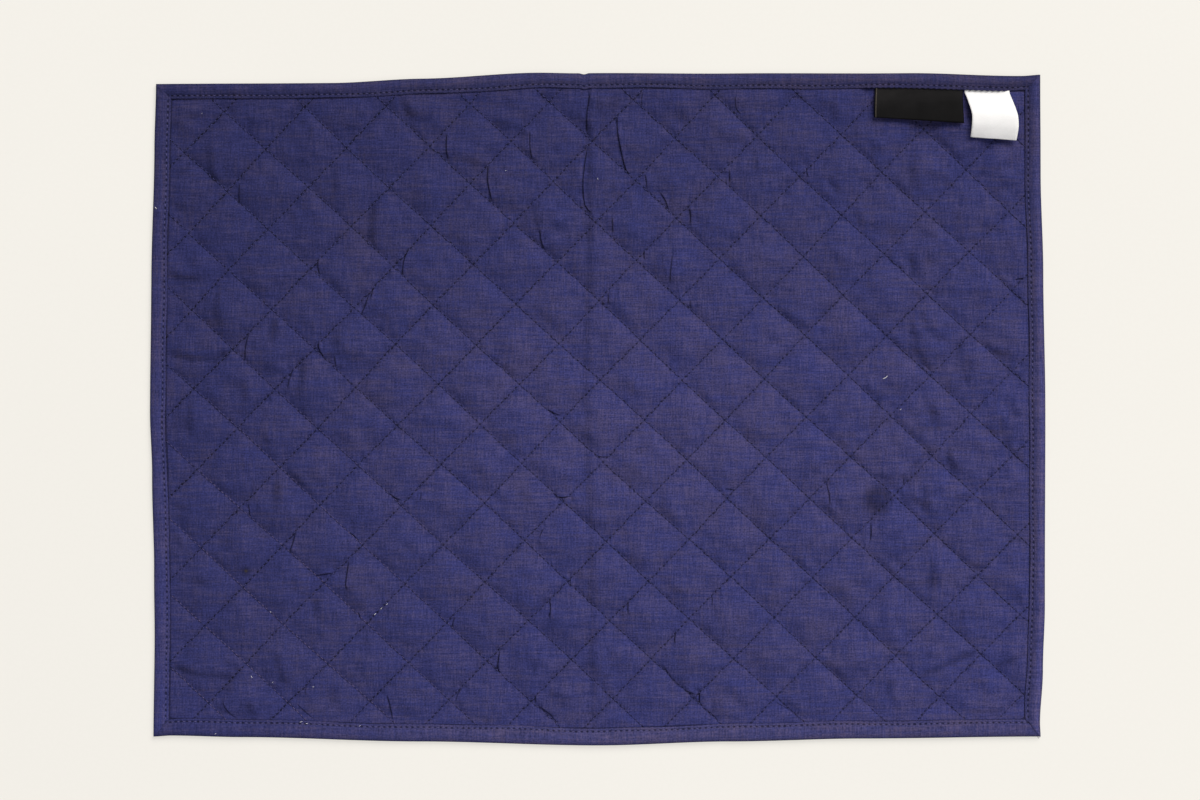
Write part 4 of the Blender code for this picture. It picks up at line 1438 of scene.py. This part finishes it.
def make_tubes(name, lines, radii, material):
    """One object of closed tubes along the lines, each tapered at its two ends."""
    points = []
    faces = []
    for line, radius in zip(lines, radii):
        line = np.asarray(line, float)
        across, up = square_to(np.gradient(line, axis=0))
        from_end = np.minimum(np.arange(len(line)), np.arange(len(line))[::-1])
        taper = np.minimum(1.0, 0.35 + from_end / 2.0)
        rings = ring_round(line, across, up, (radius * taper)[:, None, None], TUBE_SIDES)
        faces += [tuple(len(points) + k for k in face) for face in tube_faces(len(line), TUBE_SIDES)]
        points += rings.reshape(-1, 3).tolist()
    return make_object(name, points, faces, material)


def lattice_coords(x, y):
    """Quilting coordinate of one place, by repeated correction."""
    p = q = 0.0
    det = HALF_ACROSS[0] * HALF_DOWN[1] - HALF_ACROSS[1] * HALF_DOWN[0]
    for _ in range(12):
        have = lattice_point(p, q)
        off_x = x - have[0]
        off_y = y - have[1]
        i = (off_x * HALF_DOWN[1] - off_y * HALF_DOWN[0]) / det
        j = (off_y * HALF_ACROSS[0] - off_x * HALF_ACROSS[1]) / det
        p += (i + j) / 2.0
        q += (i - j) / 2.0
    return p, q


def surface_height(x, y):
    """Height of the cloth that shows at one place, binding or panel."""
    if panel_depths(np.array([x]), np.array([y])).min() < 0.2:
        return FLAP_TOP + 0.1
    p, q = lattice_coords(x, y)
    return float(panel_top(np.array([x]), np.array([y]), np.array([p]), np.array([q]))[0])


def fibre_line(x, y, length, direction, curl, radius):
    """Points of one curled fibre that lies on the cloth."""
    x += DRAWN_SHIFT
    angle = math.radians(direction)
    line = [(x, y, surface_height(x, y) + radius + 0.05)]
    for _ in range(FIBRE_STEPS):
        angle += math.radians(curl) / FIBRE_STEPS
        x += math.cos(angle) * length / FIBRE_STEPS
        y += math.sin(angle) * length / FIBRE_STEPS
        line.append((x, y, surface_height(x, y) + radius + 0.08))
    return line


def make_lint():
    return make_tubes("lint", [fibre_line(*row) for row in FIBRES], [row[-1] for row in FIBRES], LINT)


def make_tail():
    """Two short loose ends of the edge thread at the near right corner."""
    lines = [spline(line, TAIL_POINTS) for line in TAILS]
    return make_tubes("thread_tail", lines, [TAIL_RADIUS] * len(TAILS), THREAD)


# ---------------------------------------------------------------- build
face_cloth = make_face_cloth()
backing_cloth = make_backing_cloth()
quilting_thread = make_quilting_thread()
bobbin_thread = make_under_thread()
binding = make_binding()
edge_thread = make_edge_thread()
woven_label, woven_length = make_label(
    "woven_label_cloth", WOVEN_LABEL_ROWS, 0.7, BLACK_TAPE, columns=61, steps=40, fold_left=True
)
care_label, care_length = make_label(
    "care_label_cloth", CARE_LABEL_ROWS, 0.4, WHITE_TAPE, columns=33, steps=60
)
lint = make_lint()
tail = make_tail()

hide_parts("quilted_panel")
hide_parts("quilted_panel")
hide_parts("edge_binding")
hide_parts("woven_label")
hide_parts("care_label")


# ---------------------------------------------------------------- floor, light, camera
FLOOR_PAPER = (0.770, 0.747, 0.697, 1.0)
FLOOR_LIGHT = 1.16
FLOOR_REACH = 3.0
FLOOR_LEVEL = -0.0002
# Painted light: the floor glows with this share of its brightness, washing out the mat's shadow.
GLOW = 0.7
SKY = (0.95, 0.96, 1.0, 1.0)
SKY_LIGHT = 0.23


def make_floor():
    wires = Wires("pale_paper")
    place = wires.place()
    level = 0.97 + 0.04 * wires.noise(place, 3.0, 3.0) + 0.02 * wires.noise(place, 500.0)
    inputs = {
        "Base Color": wires.dim(FLOOR_PAPER, level * (1.0 - GLOW)),
        "Emission Color": wires.dim(FLOOR_PAPER, level),
        "Emission Strength": GLOW * FLOOR_LIGHT,
        "Roughness": 0.95,
        "Specular IOR Level": 0.1,
    }
    mesh = bpy.data.meshes.new("floor")
    turns = ((-1, -1), (1, -1), (1, 1), (-1, 1))
    corners = [(x * FLOOR_REACH, y * FLOOR_REACH, FLOOR_LEVEL) for x, y in turns]
    mesh.from_pydata(corners, [], [(0, 1, 2, 3)])
    mesh.materials.append(wires.finish(inputs))
    result = bpy.data.objects.new("floor", mesh)
    bpy.context.scene.collection.objects.link(result)


def area_light(name, place, target, size, power, colour):
    data = bpy.data.lights.new(name, "AREA")
    data.shape = "RECTANGLE"
    data.size, data.size_y = size
    data.energy = power
    data.color = colour
    lamp = bpy.data.objects.new(name, data)
    lamp.location = place
    aim = Vector(target) - Vector(place)
    lamp.rotation_euler = aim.to_track_quat("-Z", "Y").to_euler()
    bpy.context.scene.collection.objects.link(lamp)


make_floor()
area_light("key", (2.05, 3.70, 4.25), (0.0, -0.4, 0.0), (4.2, 3.9), 480.0, (1.0, 0.98, 0.95))
area_light("fill", (0.7, -1.7, 2.4), (0.0, -0.3, 0.0), (2.0, 2.0), 24.0, (0.98, 0.98, 1.0))

world = bpy.data.worlds.new("studio")
world.use_nodes = True
world.node_tree.nodes["Background"].inputs["Color"].default_value = SKY
world.node_tree.nodes["Background"].inputs["Strength"].default_value = SKY_LIGHT
bpy.context.scene.world = world
bpy.context.scene.view_settings.view_transform = "Standard"

LENS = 100.0
SENSOR = 36.0
FRAME_WIDTH = 0.6067
CLOTH_LEVEL = 0.002
CAMERA_SHIFT = (0.0008, 0.00445)
camera_data = bpy.data.cameras.new("camera")
camera_data.lens = LENS
camera_data.sensor_width = SENSOR
camera_data.clip_start = 0.1
camera_data.clip_end = 20.0
camera = bpy.data.objects.new("camera", camera_data)
camera.location = (
    CAMERA_SHIFT[0] - MIDDLE[0] * MM,
    CAMERA_SHIFT[1] - MIDDLE[1] * MM,
    FRAME_WIDTH * LENS / SENSOR + CLOTH_LEVEL,
)
camera.rotation_euler = (0.0, 0.0, 0.0)
bpy.context.scene.collection.objects.link(camera)
bpy.context.scene.camera = camera
